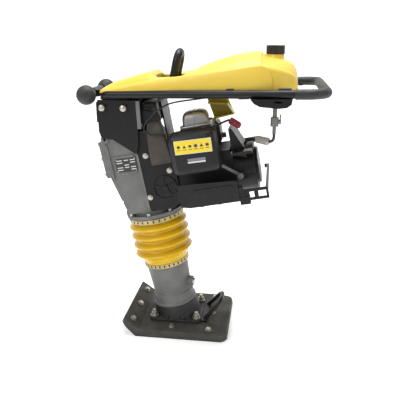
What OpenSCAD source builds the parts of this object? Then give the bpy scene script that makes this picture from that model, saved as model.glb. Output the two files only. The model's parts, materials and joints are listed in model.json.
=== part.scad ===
// Tamping rammer: a sprung foot on a leaning leg, driven by a small engine through a clutch and a crank.
// Millimetres, +Z up, +X towards the operator, origin on the ground under the middle of the shoe.
// Leaning parts are written as (u, y, w): u runs rearwards across the leg, w runs up the leg's axis.

/* [Stance] */
// Forward lean of the leg and the engine, in degrees
lean = 11; // [10:0.5:12]
// Where the leg's axis meets the ground
leg_x = -7; // [-10:1:-4]

/* [Shoe] */
// Width of the shoe
shoe_w = 276; // [272:1:284]
// Corner radius of the shoe seen from above
shoe_corner = 24; // [20:1:28]
// Height of the shoe board's flat top
board_top = 26; // [25:1:27]

/* [Leg] */
// Radius of the leg tube under the bellows
leg_top_r = 70; // [69:0.5:71]
// Radius of the leg tube above its foot ring
leg_low_r = 63.5; // [62:0.5:65]
// Top of the leg tube, along the leg
leg_top = 240; // [238:1:242]
// Radius of the spring cylinder
cylinder_r = 45; // [44:0.5:46]
// Radius of the piston rod
rod_r = 16; // [14:0.5:17]

/* [Bellows] */
// Number of rolls
rolls = 4; // [3:1:5]
// Outer radius of the rolls
roll_r = 96; // [94:1:98]

/* [Drive] */
// Gear module
gear_module = 2.1; // [2.1:0.1:2.1]
// Teeth on the crank gear
crank_teeth = 71; // [71:1:71]
// Teeth on the pinion
pinion_teeth = 13; // [13:1:13]
// Crank throw
throw = 28; // [24:1:28]
// Connecting rod length between centres
con_rod_l = 150; // [148:1:152]
// Height of the engine shaft, along the leg
shaft_w = 505; // [504:1:506]

/* [Handle] */
// Height of the rails' centre line over the middle of the shoe
rail_z = 790; // [786:1:794]
// Rise of the rails towards the operator, in degrees
rail_rise = 2; // [1:0.5:2.5]
// Radius of the handle tube
tube_r = 11.5; // [11:0.25:12]
// Radius of the grip sleeve
grip_r = 14; // [13.5:0.25:14.5]

/* [Tank] */
// Radius of the filler neck
neck_r_out = 26; // [25:0.5:26.5]

/* [Hidden] */
$fn = 48;
fit = 0.06;
gap = 0.3;
gear_w = shaft_w + gear_module * (crank_teeth + pinion_teeth) / 2;
small_end_w = gear_w - sqrt(con_rod_l * con_rod_l - throw * throw);
rod_lean = asin(throw / con_rod_l);
leg_bore = 58;
leg_base = 78;
cylinder_base = 64;
cylinder_top = 330;
case_half = 80;
case_top = 680;
case_front = -95;
base_ring_r = 95;
neck_r = 84;
neck_top = 403;
bell_rear = 112;
engine_front = 118;
spine_y = 56;
// Fuel hose from the cock through the filter to the carburettor, chosen by hand
hose_high = [[291, -150, 689.5], [291, -150, 680], [289, -147, 672], [284, -142, 667]];
hose_low = [[236, -94, 662], [226, -84, 661], [216, -75, 656], [210, -70, 648], [207, -66, 640]];
// Throttle cable from the lever, under the tank and down to the carburettor, chosen by hand
cable_route = [
    [318, 150, 788], [300, 138, 785], [270, 118, 780], [220, 90, 775], [160, 60, 770], [100, 24, 766],
    [50, -24, 764], [10, -62, 762], [-16, -86, 758], [-36, -97, 748], [-56, -100, 734], [-74, -100, 716],
    [-88, -98, 698], [-90, -98, 680], [-76, -97, 669], [-56, -95, 666], [-34, -92, 668], [-10, -86, 665],
    [16, -77, 657], [38, -71, 649], [54, -70, 641]
];

// ---------------------------------------------------------------- helpers

// Puts children written as (u, y, w) on the leaning leg
module leaning() translate([leg_x, 0, 0]) rotate([0, -lean, 0]) children();

// A round bar along u
module bar_u(u0, u1, r, y, w) translate([u0, y, w]) rotate([0, 90, 0]) cylinder(h = u1 - u0, r = r);

// A round bar along Y
module bar_y(y0, y1, r, x, z) translate([x, y0, z]) rotate([-90, 0, 0]) cylinder(h = y1 - y0, r = r);

// An outline in X and Z, thick along Y
module side_plate(outline, y0, y1)
    translate([0, y1, 0]) rotate([90, 0, 0]) linear_extrude(y1 - y0) polygon(outline);

// An outline in Y and Z, thick along X
module cross_plate(outline, x0, x1)
    translate([x0, 0, 0]) rotate([90, 0, 90]) linear_extrude(x1 - x0) polygon(outline);

// A box between two corners
module block(low, high) translate(low) cube(high - low);

// A rectangle with round corners, centred
module round_rect(l, w, r) {
    square([l - 2 * r, w], center = true);
    square([l, w - 2 * r], center = true);
    for (sx = [-1, 1], sy = [-1, 1])
        translate([sx * (l / 2 - r), sy * (w / 2 - r)]) circle(r);
}

// A bolt head on its washer, seat at z = 0 and shank below it
module hex_bolt(flats, head, shank_r, shank_l) {
    cylinder(h = 2, r = flats * 0.72);
    translate([0, 0, 2]) cylinder(h = head, r = flats / 2 / cos(30), $fn = 6);
    translate([0, 0, -shank_l]) cylinder(h = shank_l, r = shank_r);
}

function unit(v) = v / norm(v);
function left_of(d) = [-d[1], d[0]];
// +1 for a left turn between two directions, -1 for a right turn
function turn_side(a, b) = a[0] * b[1] - a[1] * b[0] > 0 ? 1 : -1;
function turn_angle(a, b) = acos(a * b);
// How far from its corner a bend begins
function bend_reach(path, i, bend) =
    i == 0 || i == len(path) - 1 ? 0
    : bend[i] * tan(turn_angle(unit(path[i] - path[i - 1]), unit(path[i + 1] - path[i])) / 2);

// Weld collar that joins a straight run to a bend
collar = 0.15;
module weld_collar(place, d, r)
    translate([place[0], place[1], 0]) rotate([0, 90, atan2(d[1], d[0])])
        cylinder(h = 3, r = r + collar, center = true);

// A round tube in the XY plane along straight runs and true bends
module bent_tube(path, bend, r) {
    for (i = [0 : len(path) - 2]) {
        d = unit(path[i + 1] - path[i]);
        start = path[i] + d * bend_reach(path, i, bend);
        stop = path[i + 1] - d * bend_reach(path, i + 1, bend);
        translate([start[0], start[1], 0])
            rotate([0, 90, atan2(d[1], d[0])])
            cylinder(h = norm(stop - start), r = r);
        if (i > 0) weld_collar(start, d, r);
        if (i < len(path) - 2) weld_collar(stop, d, r);
    }
    for (i = [1 : len(path) - 2]) {
        a = unit(path[i] - path[i - 1]);
        b = unit(path[i + 1] - path[i]);
        side = turn_side(a, b);
        angle = turn_angle(a, b);
        centre = path[i] - a * bend_reach(path, i, bend) + left_of(a) * side * bend[i];
        from_centre = -left_of(a) * side;
        first = atan2(from_centre[1], from_centre[0]);
        translate([centre[0], centre[1], 0])
            rotate([0, 0, side > 0 ? first : first - angle])
            rotate_extrude(angle = angle) translate([bend[i], 0]) circle(r);
    }
}

// Points of a smooth curve through a route
function curve_point(p, q, r, s, t) =
    0.5 * (2 * q + (r - p) * t + (2 * p - 5 * q + 4 * r - s) * t * t + (3 * q - p - 3 * r + s) * t * t * t);
function smooth_route(route, steps) = [
    for (i = [0 : len(route) - 2], k = [0 : steps - 1])
        curve_point(route[max(i - 1, 0)], route[i], route[i + 1], route[min(i + 2, len(route) - 1)], k / steps),
    route[len(route) - 1]
];
function heading(route, i) = unit(route[min(i + 1, len(route) - 1)] - route[max(i - 1, 0)]);
// Two directions across a heading, the first as level as it can be
function across(h) = abs(h[2]) > 0.99 ? [1, 0, 0] : unit(cross(h, [0, 0, 1]));

// A round cord swept along a route as one closed solid
module swept_cord(route, r, sides) {
    count = len(route);
    points = [
        for (i = [0 : count - 1], k = [0 : sides - 1])
            let (h = heading(route, i), a = across(h), b = cross(a, h))
            route[i] + r * (cos(360 * k / sides) * a + sin(360 * k / sides) * b)
    ];
    walls = [
        for (i = [0 : count - 2], k = [0 : sides - 1])
            let (n = (k + 1) % sides)
            [i * sides + k, i * sides + n, (i + 1) * sides + n, (i + 1) * sides + k]
    ];
    start_cap = [[for (k = [sides - 1 : -1 : 0]) k]];
    end_cap = [[for (k = [0 : sides - 1]) (count - 1) * sides + k]];
    polyhedron(points = points, faces = concat(walls, start_cap, end_cap), convexity = 6);
}

// ---------------------------------------------------------------- foot group

// Outline of the shoe's upturned sole and of the board bent onto it
sole_low = [[-180, 46], [-134, 0], [146, 0], [169, 5]];
sole_high = [[167, 11], [144, 6], [-131, 6], [-175, 50]];
board_high = [[-172, 62], [-122, board_top], [118, board_top], [164, 19]];
shoe_bolt_spots = [[-18, -106], [-18, 106], [106, -112], [108, 0], [106, 112]];
toe_slope = atan2(36, 50);
toe_bolt = [-148, board_top + 18.8];
stud_spots = [[-84, -62], [-84, 62], [59, -62], [59, 62]];
plug_turn = -10;
plug_w = 142;

module shoe_plan() linear_extrude(90) translate([-6, 0]) round_rect(352, shoe_w, shoe_corner);

module sole_plate() color([0.10, 0.10, 0.10]) difference() {
    intersection() {
        side_plate(concat(sole_low, sole_high), -shoe_w / 2, shoe_w / 2);
        shoe_plan();
    }
    for (p = shoe_bolt_spots) translate([p[0], p[1], 2]) cylinder(h = 10, r = 5.2);
}

module shoe_board() color([0.16, 0.15, 0.13]) difference() {
    intersection() {
        side_plate(concat([for (i = [3 : -1 : 0]) sole_high[i]], [for (i = [3 : -1 : 0]) board_high[i]]),
            -shoe_w / 2 + 1, shoe_w / 2 - 1);
        shoe_plan();
    }
    for (p = shoe_bolt_spots) translate([p[0], p[1], 0]) cylinder(h = 60, r = 5.2);
    for (y = [-104, 0, 104]) translate([toe_bolt[0], y, toe_bolt[1]]) rotate([0, toe_slope, 0])
        translate([0, 0, -20]) cylinder(h = 40, r = 5.2);
    for (p = stud_spots) translate([p[0], p[1], 8]) cylinder(h = 40, r = 6.2);
}

module shoe_bolts() color([0.55, 0.53, 0.48]) {
    for (p = shoe_bolt_spots) translate([p[0], p[1], board_top]) hex_bolt(14, 6, 5, 23);
    for (y = [-104, 0, 104]) translate([toe_bolt[0], y, toe_bolt[1]]) rotate([0, toe_slope, 0])
        hex_bolt(14, 6, 5, 11);
}

module foot_flange() color([0.07, 0.07, 0.07]) difference() {
    union() {
        translate([-12.5, 0, board_top]) linear_extrude(10) round_rect(175, 160, 18);
        for (p = stud_spots) translate([p[0], p[1], board_top]) cylinder(h = 14, r = 15);
        intersection() {
            leaning() cylinder(h = leg_base, r1 = 82, r2 = 71);
            block([-110, -80, board_top], [110, 80, 110]);
        }
        for (sy = [-1, 1], x = [-42, 10])
            translate([x, sy > 0 ? 58 : -79, board_top]) cube([8, 21, 22]);
    }
    leaning() translate([0, 0, cylinder_base]) cylinder(h = 40, r = cylinder_r);
    leaning() translate([0, 0, leg_base]) cylinder(h = 40, r = 90);
    for (p = stud_spots) translate([p[0], p[1], 8]) cylinder(h = 60, r = 6.2);
}

module flange_studs() color([0.62, 0.61, 0.57])
    for (p = stud_spots) translate([p[0], p[1], board_top + 14]) {
        hex_bolt(18, 10, 6, 30);
        translate([0, 0, 12]) cylinder(h = 9, r = 6);
    }

// Round bar bent into a loop behind the leg, for lifting the foot by hand
loop_foot = [86, board_top + 4];
module foot_loop() color([0.07, 0.07, 0.07]) {
    block([76, -64, board_top], [96, 64, board_top + 7]);
    translate([loop_foot[0], 0, loop_foot[1]]) rotate([0, -50, 0])
        bent_tube([[0, -48], [84, -36], [84, 36], [0, 48]], [0, 26, 26, 0], 6.5);
}

module leg_tube() color([0.45, 0.45, 0.45]) leaning() difference() {
    union() {
        rotate_extrude() polygon([
            [0, leg_base], [69, leg_base], [72, leg_base + 3], [72, leg_base + 8], [68, leg_base + 12],
            [67, leg_base + 38], [leg_low_r, leg_base + 42], [leg_top_r - 0.8, leg_top - 22],
            [leg_top_r, leg_top - 20], [leg_top_r, leg_top], [0, leg_top]
        ]);
        rotate([0, 0, -100]) translate([leg_low_r - 4, -3, leg_base + 40]) cube([6.5, 6, 110]);
        rotate([0, 0, plug_turn]) translate([0, 0, plug_w]) rotate([0, 90, 0]) cylinder(h = 78, r = 17);
    }
    translate([0, 0, leg_base - 1]) cylinder(h = leg_top, r = leg_bore);
    rotate([0, 0, plug_turn]) translate([0, 0, plug_w]) rotate([0, 90, 0]) cylinder(h = 90, r = 8);
}

module level_plug() color([0.72, 0.72, 0.70]) leaning()
    rotate([0, 0, plug_turn]) translate([0, 0, plug_w]) rotate([0, 90, 0]) {
        translate([0, 0, 66]) cylinder(h = 12, r = 8);
        translate([0, 0, 78]) cylinder(h = 3, r = 12);
        translate([0, 0, 81]) cylinder(h = 6, r = 10, $fn = 6);
    }

module spring_cylinder() color([0.62, 0.62, 0.64]) leaning() difference() {
    translate([0, 0, cylinder_base]) cylinder(h = cylinder_top - cylinder_base, r = cylinder_r);
    translate([0, 0, cylinder_base + 12]) cylinder(h = 300, r = cylinder_r - 6);
}

module rod_guide() color([0.70, 0.58, 0.30]) leaning() difference() {
    translate([0, 0, cylinder_top]) cylinder(h = 14, r = cylinder_r - 1);
    translate([0, 0, cylinder_top - 1]) cylinder(h = 20, r = rod_r + fit);
}

// A spring as one coil swept round the leg's axis
module coil_spring(low, high, r, wire, turns) {
    steps = turns * 16;
    swept_cord([for (i = [0 : steps])
        [r * cos(360 * turns * i / steps), r * sin(360 * turns * i / steps), low + (high - low) * i / steps]],
        wire, 8);
}

module impact_springs() color([0.30, 0.31, 0.33]) leaning() {
    coil_spring(cylinder_base + 17, 190, 31, 4.5, 4);
    coil_spring(221, cylinder_top - 5, 31, 4.5, 4);
}

// Worm-drive band clamp round a cuff
module band_clamp(low, r) {
    difference() {
        translate([0, 0, low]) cylinder(h = 13, r = r + 1.4);
        translate([0, 0, low - 1]) cylinder(h = 20, r = r);
    }
    rotate([0, 0, 150]) translate([r + 1, -12, low - 1]) cube([10, 24, 15]);
}

module lower_band() color([0.72, 0.66, 0.42]) leaning() band_clamp(224, leg_top_r + 4);

module upper_band() color([0.72, 0.66, 0.42]) leaning() band_clamp(385.5, neck_r + 4 + gap);

// Outer radius of the bellows along the rolls
roll_low = 256;
roll_high = 382;
roll_steps = 8;
function roll_wave(t) = roll_r - 11 * pow(abs(cos(180 * t)), 1.6);
function roll_outline(inset) = [
    for (i = [0 : rolls * roll_steps])
        [roll_wave(i / roll_steps) - inset, roll_low + (roll_high - roll_low) * i / (rolls * roll_steps)]
];
function reversed(list) = [for (i = [len(list) - 1 : -1 : 0]) list[i]];

module bellows() color([0.93, 0.72, 0.08]) leaning() rotate_extrude() polygon(concat(
    [[leg_top_r, 222], [leg_top_r + 4, 222], [leg_top_r + 4, 240], [leg_top_r + 7, 246]],
    roll_outline(0),
    [[neck_r + 4, 384], [neck_r + 4, 399], [neck_r + gap, 399], [neck_r + gap, 384]],
    reversed(roll_outline(4)),
    [[leg_top_r + 3, 247], [leg_top_r, 241]]
));

// ---------------------------------------------------------------- ramming drive

module guide_cylinder() color([0.50, 0.50, 0.50]) leaning() rotate_extrude() polygon([
    [cylinder_r + fit, 200], [54, 200], [54, 372], [neck_r - 2, 383], [neck_r, 386], [neck_r, neck_top],
    [48, neck_top], [48, 262], [cylinder_r + fit, 258]
]);

module crankcase() color([0.36, 0.37, 0.35]) leaning() difference() {
    union() {
        side_plate([[case_front, case_top - 12], [case_front + 12, case_top], [8, case_top], [8, 426],
            [-66, 426], [case_front, 548]], -case_half, case_half);
        translate([0, 0, neck_top]) cylinder(h = 11, r = base_ring_r);
        translate([0, 0, neck_top]) cylinder(h = 23, r = 80);
        for (a = [0 : 45 : 315]) rotate([0, 0, a]) translate([88, 0, neck_top]) cylinder(h = 11, r = 12);
        for (sy = [-1, 1]) {
            translate([-40, sy * case_half, 586]) cube([66, 7, 58], center = true);
            translate([4, sy * case_half, 556]) cube([7, 9, 240], center = true);
            translate([-86, sy * case_half, 600]) cube([8, 8, 110], center = true);
            for (u = [-84, -56]) bar_y(sy > 0 ? 70 : -86, sy > 0 ? 86 : -70, 12, u, case_top - 6);
        }
    }
    side_plate([[case_front - 1, 552], [case_front - 1, 664], [9, 664], [9, 430], [-50, 430], [-83, 552]],
        -70, 70);
    translate([0, 0, neck_top - 1]) cylinder(h = 42, r = 48);
    for (y = [-66, 66], w = [562, 612, 668]) bar_u(case_front - 1, case_front + 10, 4, y, w);
    for (sy = [-1, 1], u = [-84, -56]) bar_y(sy > 0 ? 72 : -90, sy > 0 ? 90 : -72, 5, u, case_top - 6);
    bar_y(-90, -40, 4.2, -78, 470);
}

module front_cover() color([0.36, 0.37, 0.35]) leaning() difference() {
    union() {
        side_plate([[case_front, 552], [case_front - 10, 552], [case_front - 13, 558], [case_front - 13, 664],
            [case_front - 9, case_top - 12], [case_front, case_top - 12]], -case_half, case_half);
        bar_u(case_front - 17, case_front - 10, 46, 0, 610);
    }
    for (y = [-66, 66], w = [562, 612, 660]) bar_u(case_front - 30, case_front + 1, 4, y, w);
}

// Bolts of the drive casing: cover, base ring and clutch housing
module case_bolts() color([0.55, 0.54, 0.50]) leaning() {
    for (y = [-66, 66], w = [562, 612, 660])
        translate([case_front - 13, y, w]) rotate([0, -90, 0]) hex_bolt(10, 5, 3.8, 20);
    for (a = [0 : 45 : 315]) rotate([0, 0, a]) translate([88.5, 0, neck_top + 11]) hex_bolt(10, 6, 3, 0.01);
    for (sy = [-1, 1], p = [[30, 604], [94, 548], [16, 472]])
        translate([p[0], sy * 82, p[1]]) rotate([sy > 0 ? -90 : 90, 0, 0]) hex_bolt(12, 6, 4, 3.5);
}

module clutch_housing() color([0.08, 0.08, 0.08]) leaning() difference() {
    union() {
        side_plate([[8, 426], [8, case_top], [56, case_top], [72, 650], [72, 590], [bell_rear, 576],
            [bell_rear, 446], [84, 426]], -82, 82);
        bar_u(8, 68, 80, 0, gear_w);
    }
    bar_u(7, 44, 77.5, 0, gear_w);
    side_plate([[7, 426], [7, gear_w], [44, gear_w], [44, 452], [52, 426]], -62, 62);
    translate([0, 0, 400]) cylinder(h = 44, r = 48);
    bar_u(70, bell_rear + 1, 62, 0, shaft_w);
    bar_u(40, 66, 31, 0, gear_w);
    bar_u(40, 80, 17.5, 0, shaft_w);
    for (sy = [-1, 1], p = [[30, 604], [94, 548], [16, 472]])
        bar_y(sy > 0 ? 78.3 : -84, sy > 0 ? 84 : -78.3, 4.2, p[0], p[1]);
}

module ring_bearing(u0, u1, inner, outer, w) difference() {
    bar_u(u0, u1, outer, 0, w);
    bar_u(u0 - 1, u1 + 1, inner, 0, w);
}

module shaft_bearings() color([0.75, 0.75, 0.77]) leaning() {
    ring_bearing(46, 64, 15 + fit, 31, gear_w);
    ring_bearing(48, 64, 9 + fit, 17.5, shaft_w);
}

// Radius turned through when a circle of radius b unrolls to radius r, in degrees
function roll_angle(b, r) = sqrt(max(r * r / (b * b) - 1, 0)) * 180 / PI;
function flank_angle(b, r) = roll_angle(b, r) - acos(min(b / r, 1));
// One tooth of an involute gear as points of radius and angle, counter-clockwise
function tooth(teeth, m, slack) =
    let (pitch = m * teeth / 2, b = pitch * cos(22.5), tip = pitch + 0.8 * m, root = pitch - 1.05 * m,
        half = 90 / teeth - slack / pitch * 90 / PI, at_pitch = flank_angle(b, pitch),
        radii = [max(b, root + 0.1), pitch, tip])
    concat(
        [[root, -(half + at_pitch - flank_angle(b, radii[0]))]],
        [for (r = radii) [r, -(half + at_pitch - flank_angle(b, r))]],
        [for (r = reversed(radii)) [r, half + at_pitch - flank_angle(b, r)]],
        [[root, half + at_pitch - flank_angle(b, radii[0])]]
    );
function gear_outline(teeth, m, slack, phase) = [
    for (i = [0 : teeth - 1], p = tooth(teeth, m, slack))
        let (a = 360 * i / teeth + p[1] + phase) [p[0] * cos(a), p[0] * sin(a)]
];

// A spur gear along u; its outline's X is Y and its outline's Y is w
module spur_gear(u0, u1, w, teeth, phase)
    translate([u0, 0, w]) rotate([90, 0, 90]) linear_extrude(u1 - u0)
        polygon(gear_outline(teeth, gear_module, 0.3, phase));

module crank_gear() color([0.55, 0.55, 0.57]) leaning() {
    difference() {
        spur_gear(12, 32, gear_w, crank_teeth, -90);
        for (a = [0 : 60 : 300]) translate([0, 0, gear_w]) rotate([a, 0, 0]) bar_u(11, 33, 12, 0, 50);
    }
    bar_u(12, 64, 15, 0, gear_w);
    bar_u(32, 45, 24, 0, gear_w);
}

module pinion_shaft() color([0.60, 0.60, 0.62]) leaning() {
    spur_gear(11, 33, shaft_w, pinion_teeth, 90 + 180 / pinion_teeth);
    bar_u(33, 72, 9, 0, shaft_w);
    bar_u(33, 46, 12, 0, shaft_w);
}

module clutch_drum() color([0.40, 0.40, 0.42]) leaning() difference() {
    bar_u(72, 106, 56, 0, shaft_w);
    bar_u(77, 107, 51, 0, shaft_w);
}

module clutch_shoes() color([0.34, 0.30, 0.26]) leaning() difference() {
    bar_u(80, 102, 49.5, 0, shaft_w);
    bar_u(79, 103, 14, 0, shaft_w);
    for (a = [0, 120, 240]) translate([0, 0, shaft_w]) rotate([a, 0, 0]) block([79, -2, 20], [103, 2, 60]);
}

module piston_rod() color([0.72, 0.72, 0.74]) leaning() difference() {
    union() {
        translate([0, 0, 195]) cylinder(h = 20, r = cylinder_r - 6 - fit);
        translate([0, 0, 215]) cylinder(h = small_end_w - 243, r = rod_r);
        bar_u(-5, 5, 15, 0, small_end_w);
        block([-5, -12, small_end_w - 30], [5, 12, small_end_w]);
    }
    bar_u(-6, 6, 7 + fit, 0, small_end_w);
    for (a = [45 : 90 : 315]) rotate([0, 0, a]) translate([25, 0, 190]) cylinder(h = 30, r = 4);
}

// Fork, shank and big end with both pins, leaning as it does at half stroke
module con_rod() color([0.48, 0.49, 0.50]) leaning() translate([0, 0, small_end_w]) rotate([rod_lean, 0, 0]) {
    difference() {
        union() {
            for (u = [-10, 5.3]) bar_u(u, u + 4.7, 14, 0, 0);
            for (u = [-10, 5.3]) block([u, -9, 0], [u + 4.7, 9, 34]);
            block([-10, -9, 24], [10, 9, con_rod_l - 18]);
            bar_u(-10, 10, 24, 0, con_rod_l);
        }
        for (sy = [-1, 1]) block([-12, sy > 0 ? 5 : -10, 40], [12, sy > 0 ? 10 : -5, con_rod_l - 32]);
    }
    bar_u(-9, 9, 7, 0, 0);
    bar_u(-16, 11.7, 13, 0, con_rod_l);
}

// ---------------------------------------------------------------- engine

module crankshaft() color([0.66, 0.66, 0.68]) leaning() {
    bar_u(78, 130, 14, 0, shaft_w);
    bar_u(130, 300, 12, 0, shaft_w);
    bar_u(300, 330, 8, 0, shaft_w);
}

module flywheel() color([0.50, 0.50, 0.50]) leaning() difference() {
    union() {
        bar_u(300, 312, 60, 0, shaft_w);
        for (a = [0 : 30 : 330]) translate([0, 0, shaft_w]) rotate([a, 0, 0]) block([312, -1.5, 30], [326, 1.5, 58]);
    }
    bar_u(299, 327, 8, 0, shaft_w);
}

module engine_block() color([0.09, 0.09, 0.09]) leaning() difference() {
    union() {
        side_plate([[engine_front, 452], [engine_front, 566], [134, 580], [284, 580], [290, 566], [290, 452]],
            -72, 72);
        bar_u(bell_rear, engine_front, 72, 0, shaft_w);
        block([148, -46, 580], [232, 50, 650]);
        for (w = [588 : 9 : 642]) block([142, -56, w], [240, 60, w + 3]);
        block([144, -52, 646], [238, 56, 658]);
        for (y = [-58, 58], u = [165, 262]) translate([u, y, 446]) cylinder(h = 8, r = 12);
    }
    bar_u(bell_rear - 1, 291, 14.5, 0, shaft_w);
}

module head_cover() color([0.62, 0.63, 0.64]) leaning() {
    translate([190, 2, 658]) linear_extrude(6) round_rect(96, 84, 10);
    difference() {
        intersection() {
            translate([190, 2, 664]) linear_extrude(44) round_rect(80, 66, 12);
            translate([150, 0, 650]) rotate([0, 90, 0]) translate([0, 2, 0]) cylinder(h = 80, r = 57);
        }
        for (u = [162 : 14 : 218]) block([u, -40, 704], [u + 5, 44, 712]);
    }
    for (su = [-1, 1], sy = [-1, 1]) translate([190 + su * 41, 2 + sy * 35, 664]) cylinder(h = 5, r = 4.5, $fn = 6);
}

cleaner_u = 190;
cleaner_w = 600;
module air_cleaner_base() color([0.10, 0.10, 0.11]) leaning() {
    translate([cleaner_u, -92, cleaner_w]) rotate([90, 0, 0]) linear_extrude(14) round_rect(112, 106, 14);
    bar_y(-92, -84, 18, cleaner_u, cleaner_w);
}

module air_cleaner_cover() color([0.06, 0.06, 0.07]) leaning()
    translate([cleaner_u, -106, cleaner_w + 2]) rotate([90, 0, 0]) {
        linear_extrude(46) round_rect(142, 126, 18);
        translate([0, 0, 46]) linear_extrude(8) round_rect(132, 116, 16);
        translate([0, 0, 54]) linear_extrude(5) round_rect(114, 98, 12);
    }

module carburettor() color([0.60, 0.60, 0.58]) leaning() {
    bar_y(-84, -56, 16, cleaner_u, cleaner_w);
    block([cleaner_u - 12, -84, cleaner_w - 34], [cleaner_u + 12, -73, cleaner_w]);
    bar_y(-84, -73, 14, cleaner_u, cleaner_w - 34);
    bar_u(cleaner_u, cleaner_u + 30, 4, -70, cleaner_w + 6);
}

// Lever beside the air cleaner, with its knob low at the rear
module choke_lever() color([0.45, 0.45, 0.43]) leaning() {
    bar_y(-104, -94, 5, 262, 540);
    side_plate([[262, 545], [262, 535], [306, 500], [312, 508]], -104, -101);
    bar_y(-114, -104, 9, 308, 504);
}

module silencer() color([0.30, 0.30, 0.31]) leaning() difference() {
    union() {
        translate([190, 73, 612]) rotate([-90, 0, 0]) linear_extrude(60) round_rect(118, 82, 20);
        bar_y(60, 74, 14, 190, 612);
        bar_u(249, 262, 9, 100, 596);
    }
    bar_u(240, 263, 6, 100, 596);
}

// Bent sheet that stands over the cylinder and the silencer
module heat_shield() color([0.62, 0.58, 0.10]) leaning() {
    side_plate([[232, 718], [292, 704], [308, 668], [244, 664], [240, 668], [303, 672], [289, 701], [232, 714]],
        24, 60);
    side_plate([[226, 740], [290, 728], [306, 668], [240, 664]], 60, 62.5);
    side_plate([[240, 666], [240, 658], [250, 658], [250, 666]], 20, 62.5);
}

module fan_housing() color([0.16, 0.16, 0.16]) leaning() difference() {
    union() {
        bar_u(290, 330, 74, 0, shaft_w);
        side_plate([[290, 560], [290, 640], [300, 640], [330, 572], [330, 548]], -64, 40);
        side_plate([[290, 566], [290, 574], [352, 574], [352, 566]], -104, -66);
        block([290, -66, 566], [300, -60, 574]);
    }
    bar_u(298, 331, 68, 0, shaft_w);
    bar_u(289, 300, 13, 0, shaft_w);
    side_plate([[294, 548], [294, 636], [297, 636], [324, 570], [324, 548]], -58, 34);
}

// Where the starter rope leaves its cover, and the way it is pulled
rope_lean = 52;
module at_rope() translate([340, 52, shaft_w + 30]) rotate([-rope_lean, 0, 0]) children();

module recoil_cover() color([0.09, 0.09, 0.09]) leaning() {
    cover_shell();
    bar_u(334, 358, 6 - fit, 0, shaft_w);
}

module cover_shell() difference() {
    union() {
        bar_u(330, 352, 74, 0, shaft_w);
        bar_u(352, 361, 56, 0, shaft_w);
        at_rope() cylinder(h = 38, r = 10);
    }
    bar_u(329, 348, 68, 0, shaft_w);
    bar_u(340, 357, 44, 0, shaft_w);
    for (a = [0 : 30 : 330]) translate([0, 0, shaft_w]) rotate([a, 0, 0]) block([350, -4, 47], [363, 4, 53]);
    for (a = [0 : 20 : 340]) translate([0, 0, shaft_w]) rotate([a, 0, 0]) block([340, -3, 59], [353, 3, 66]);
    at_rope() translate([0, 0, -20]) cylinder(h = 80, r = 4);
}

module starter_pulley() color([0.12, 0.12, 0.12]) leaning() difference() {
    union() {
        bar_u(334, 337, 36, 0, shaft_w);
        bar_u(337, 343, 28, 0, shaft_w);
        bar_u(343, 346, 36, 0, shaft_w);
    }
    bar_u(333, 347, 6, 0, shaft_w);
}

module starter_grip() color([0.05, 0.05, 0.05]) leaning()
    at_rope() {
        translate([0, 0, 38.5]) cylinder(h = 6, r = 7);
        translate([0, 0, 52]) rotate([0, 90, 0]) cylinder(h = 56, r = 9, center = true);
    }

module starter_rope() color([0.85, 0.85, 0.82]) leaning()
    at_rope() translate([0, 0, -18]) cylinder(h = 56.5, r = 2);

module plug_cap() color([0.36, 0.03, 0.05]) leaning() {
    translate([313, -50, 652]) rotate([0, 130, 0]) translate([0, 0, -19]) linear_extrude(38) round_rect(20, 20, 5);
    bar_u(238, 304, 4.5, -46, 652);
}

// Tray under the engine with an embossed near side
module lower_guard() color([0.06, 0.06, 0.06]) leaning() {
    difference() {
        side_plate([[122, 446], [122, 514], [290, 504], [298, 500], [298, 440], [150, 440]], -152, 110);
        side_plate([[121, 451], [121, 560], [293, 540], [294, 446], [150, 446]], -147, 105);
        side_plate([[130, 451], [130, 570], [320, 570], [320, 455]], 100, 120);
        block([287, -140, 430], [300, 98, 560]);
        for (u = [165, 262], y = [-58, 58]) translate([u, y, 430]) cylinder(h = 30, r = 5);
    }
    translate([224, -152, 484]) rotate([90, 0, 0]) linear_extrude(3) round_rect(118, 16, 7.9);
    for (u = [182, 236]) translate([u, -128, 434]) cylinder(h = 7, r = 9);
    block([298, -146, 426], [328, -120, 448]);
    block([310, -143, 448], [328, -136, 470]);
    translate([305, -145, 474]) rotate([90, 0, 0]) cylinder(h = 6, r = 8);
    block([297, -145, 448], [312, -140, 486]);
}

// Bumper of flat bars behind the engine: a frame on the near side that carries the cross bar
module rear_bumper() color([0.06, 0.06, 0.06]) leaning() {
    block([328, -143, 436], [384, -136, 443]);
    block([328, -143, 462], [384, -136, 470]);
    for (u = [342, 377]) block([u, -143, 443], [u + (u > 350 ? 7 : 12), -136, 462]);
    block([377, -136, 458], [384, 136, 470]);
    block([368, 130, 458], [377, 136, 470]);
}

// ---------------------------------------------------------------- top

module handle_bracket() color([0.05, 0.05, 0.05]) {
    for (sy = [-1, 1]) {
        difference() {
            side_plate([[-232, 672], [-232, 766], [-114, 766], [-112, 640], [-118, 604], [-190, 648], [-224, 650]],
                sy > 0 ? 86 : -92, sy > 0 ? 92 : -86);
            for (x = [-217, -152]) bar_y(sy > 0 ? 85 : -93, sy > 0 ? 93 : -85, 6.2, x, 744);
        }
        side_plate([[-116, 766], [-104, 766], [-100, 682], [-112, 682]], sy > 0 ? 76 : -92, sy > 0 ? 92 : -76);
    }
    cross_plate([[-92, 700], [92, 700], [92, 760], [-92, 760]], -236, -232);
    leaning() block([94, -26, 583], [99, 72, 752]);
    leaning() for (sy = [-1, 1]) side_plate([[20, 702], [99, 702], [99, 720], [20, 752]],
        sy > 0 ? 72 : -76, sy > 0 ? 76 : -72);
}

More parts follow.
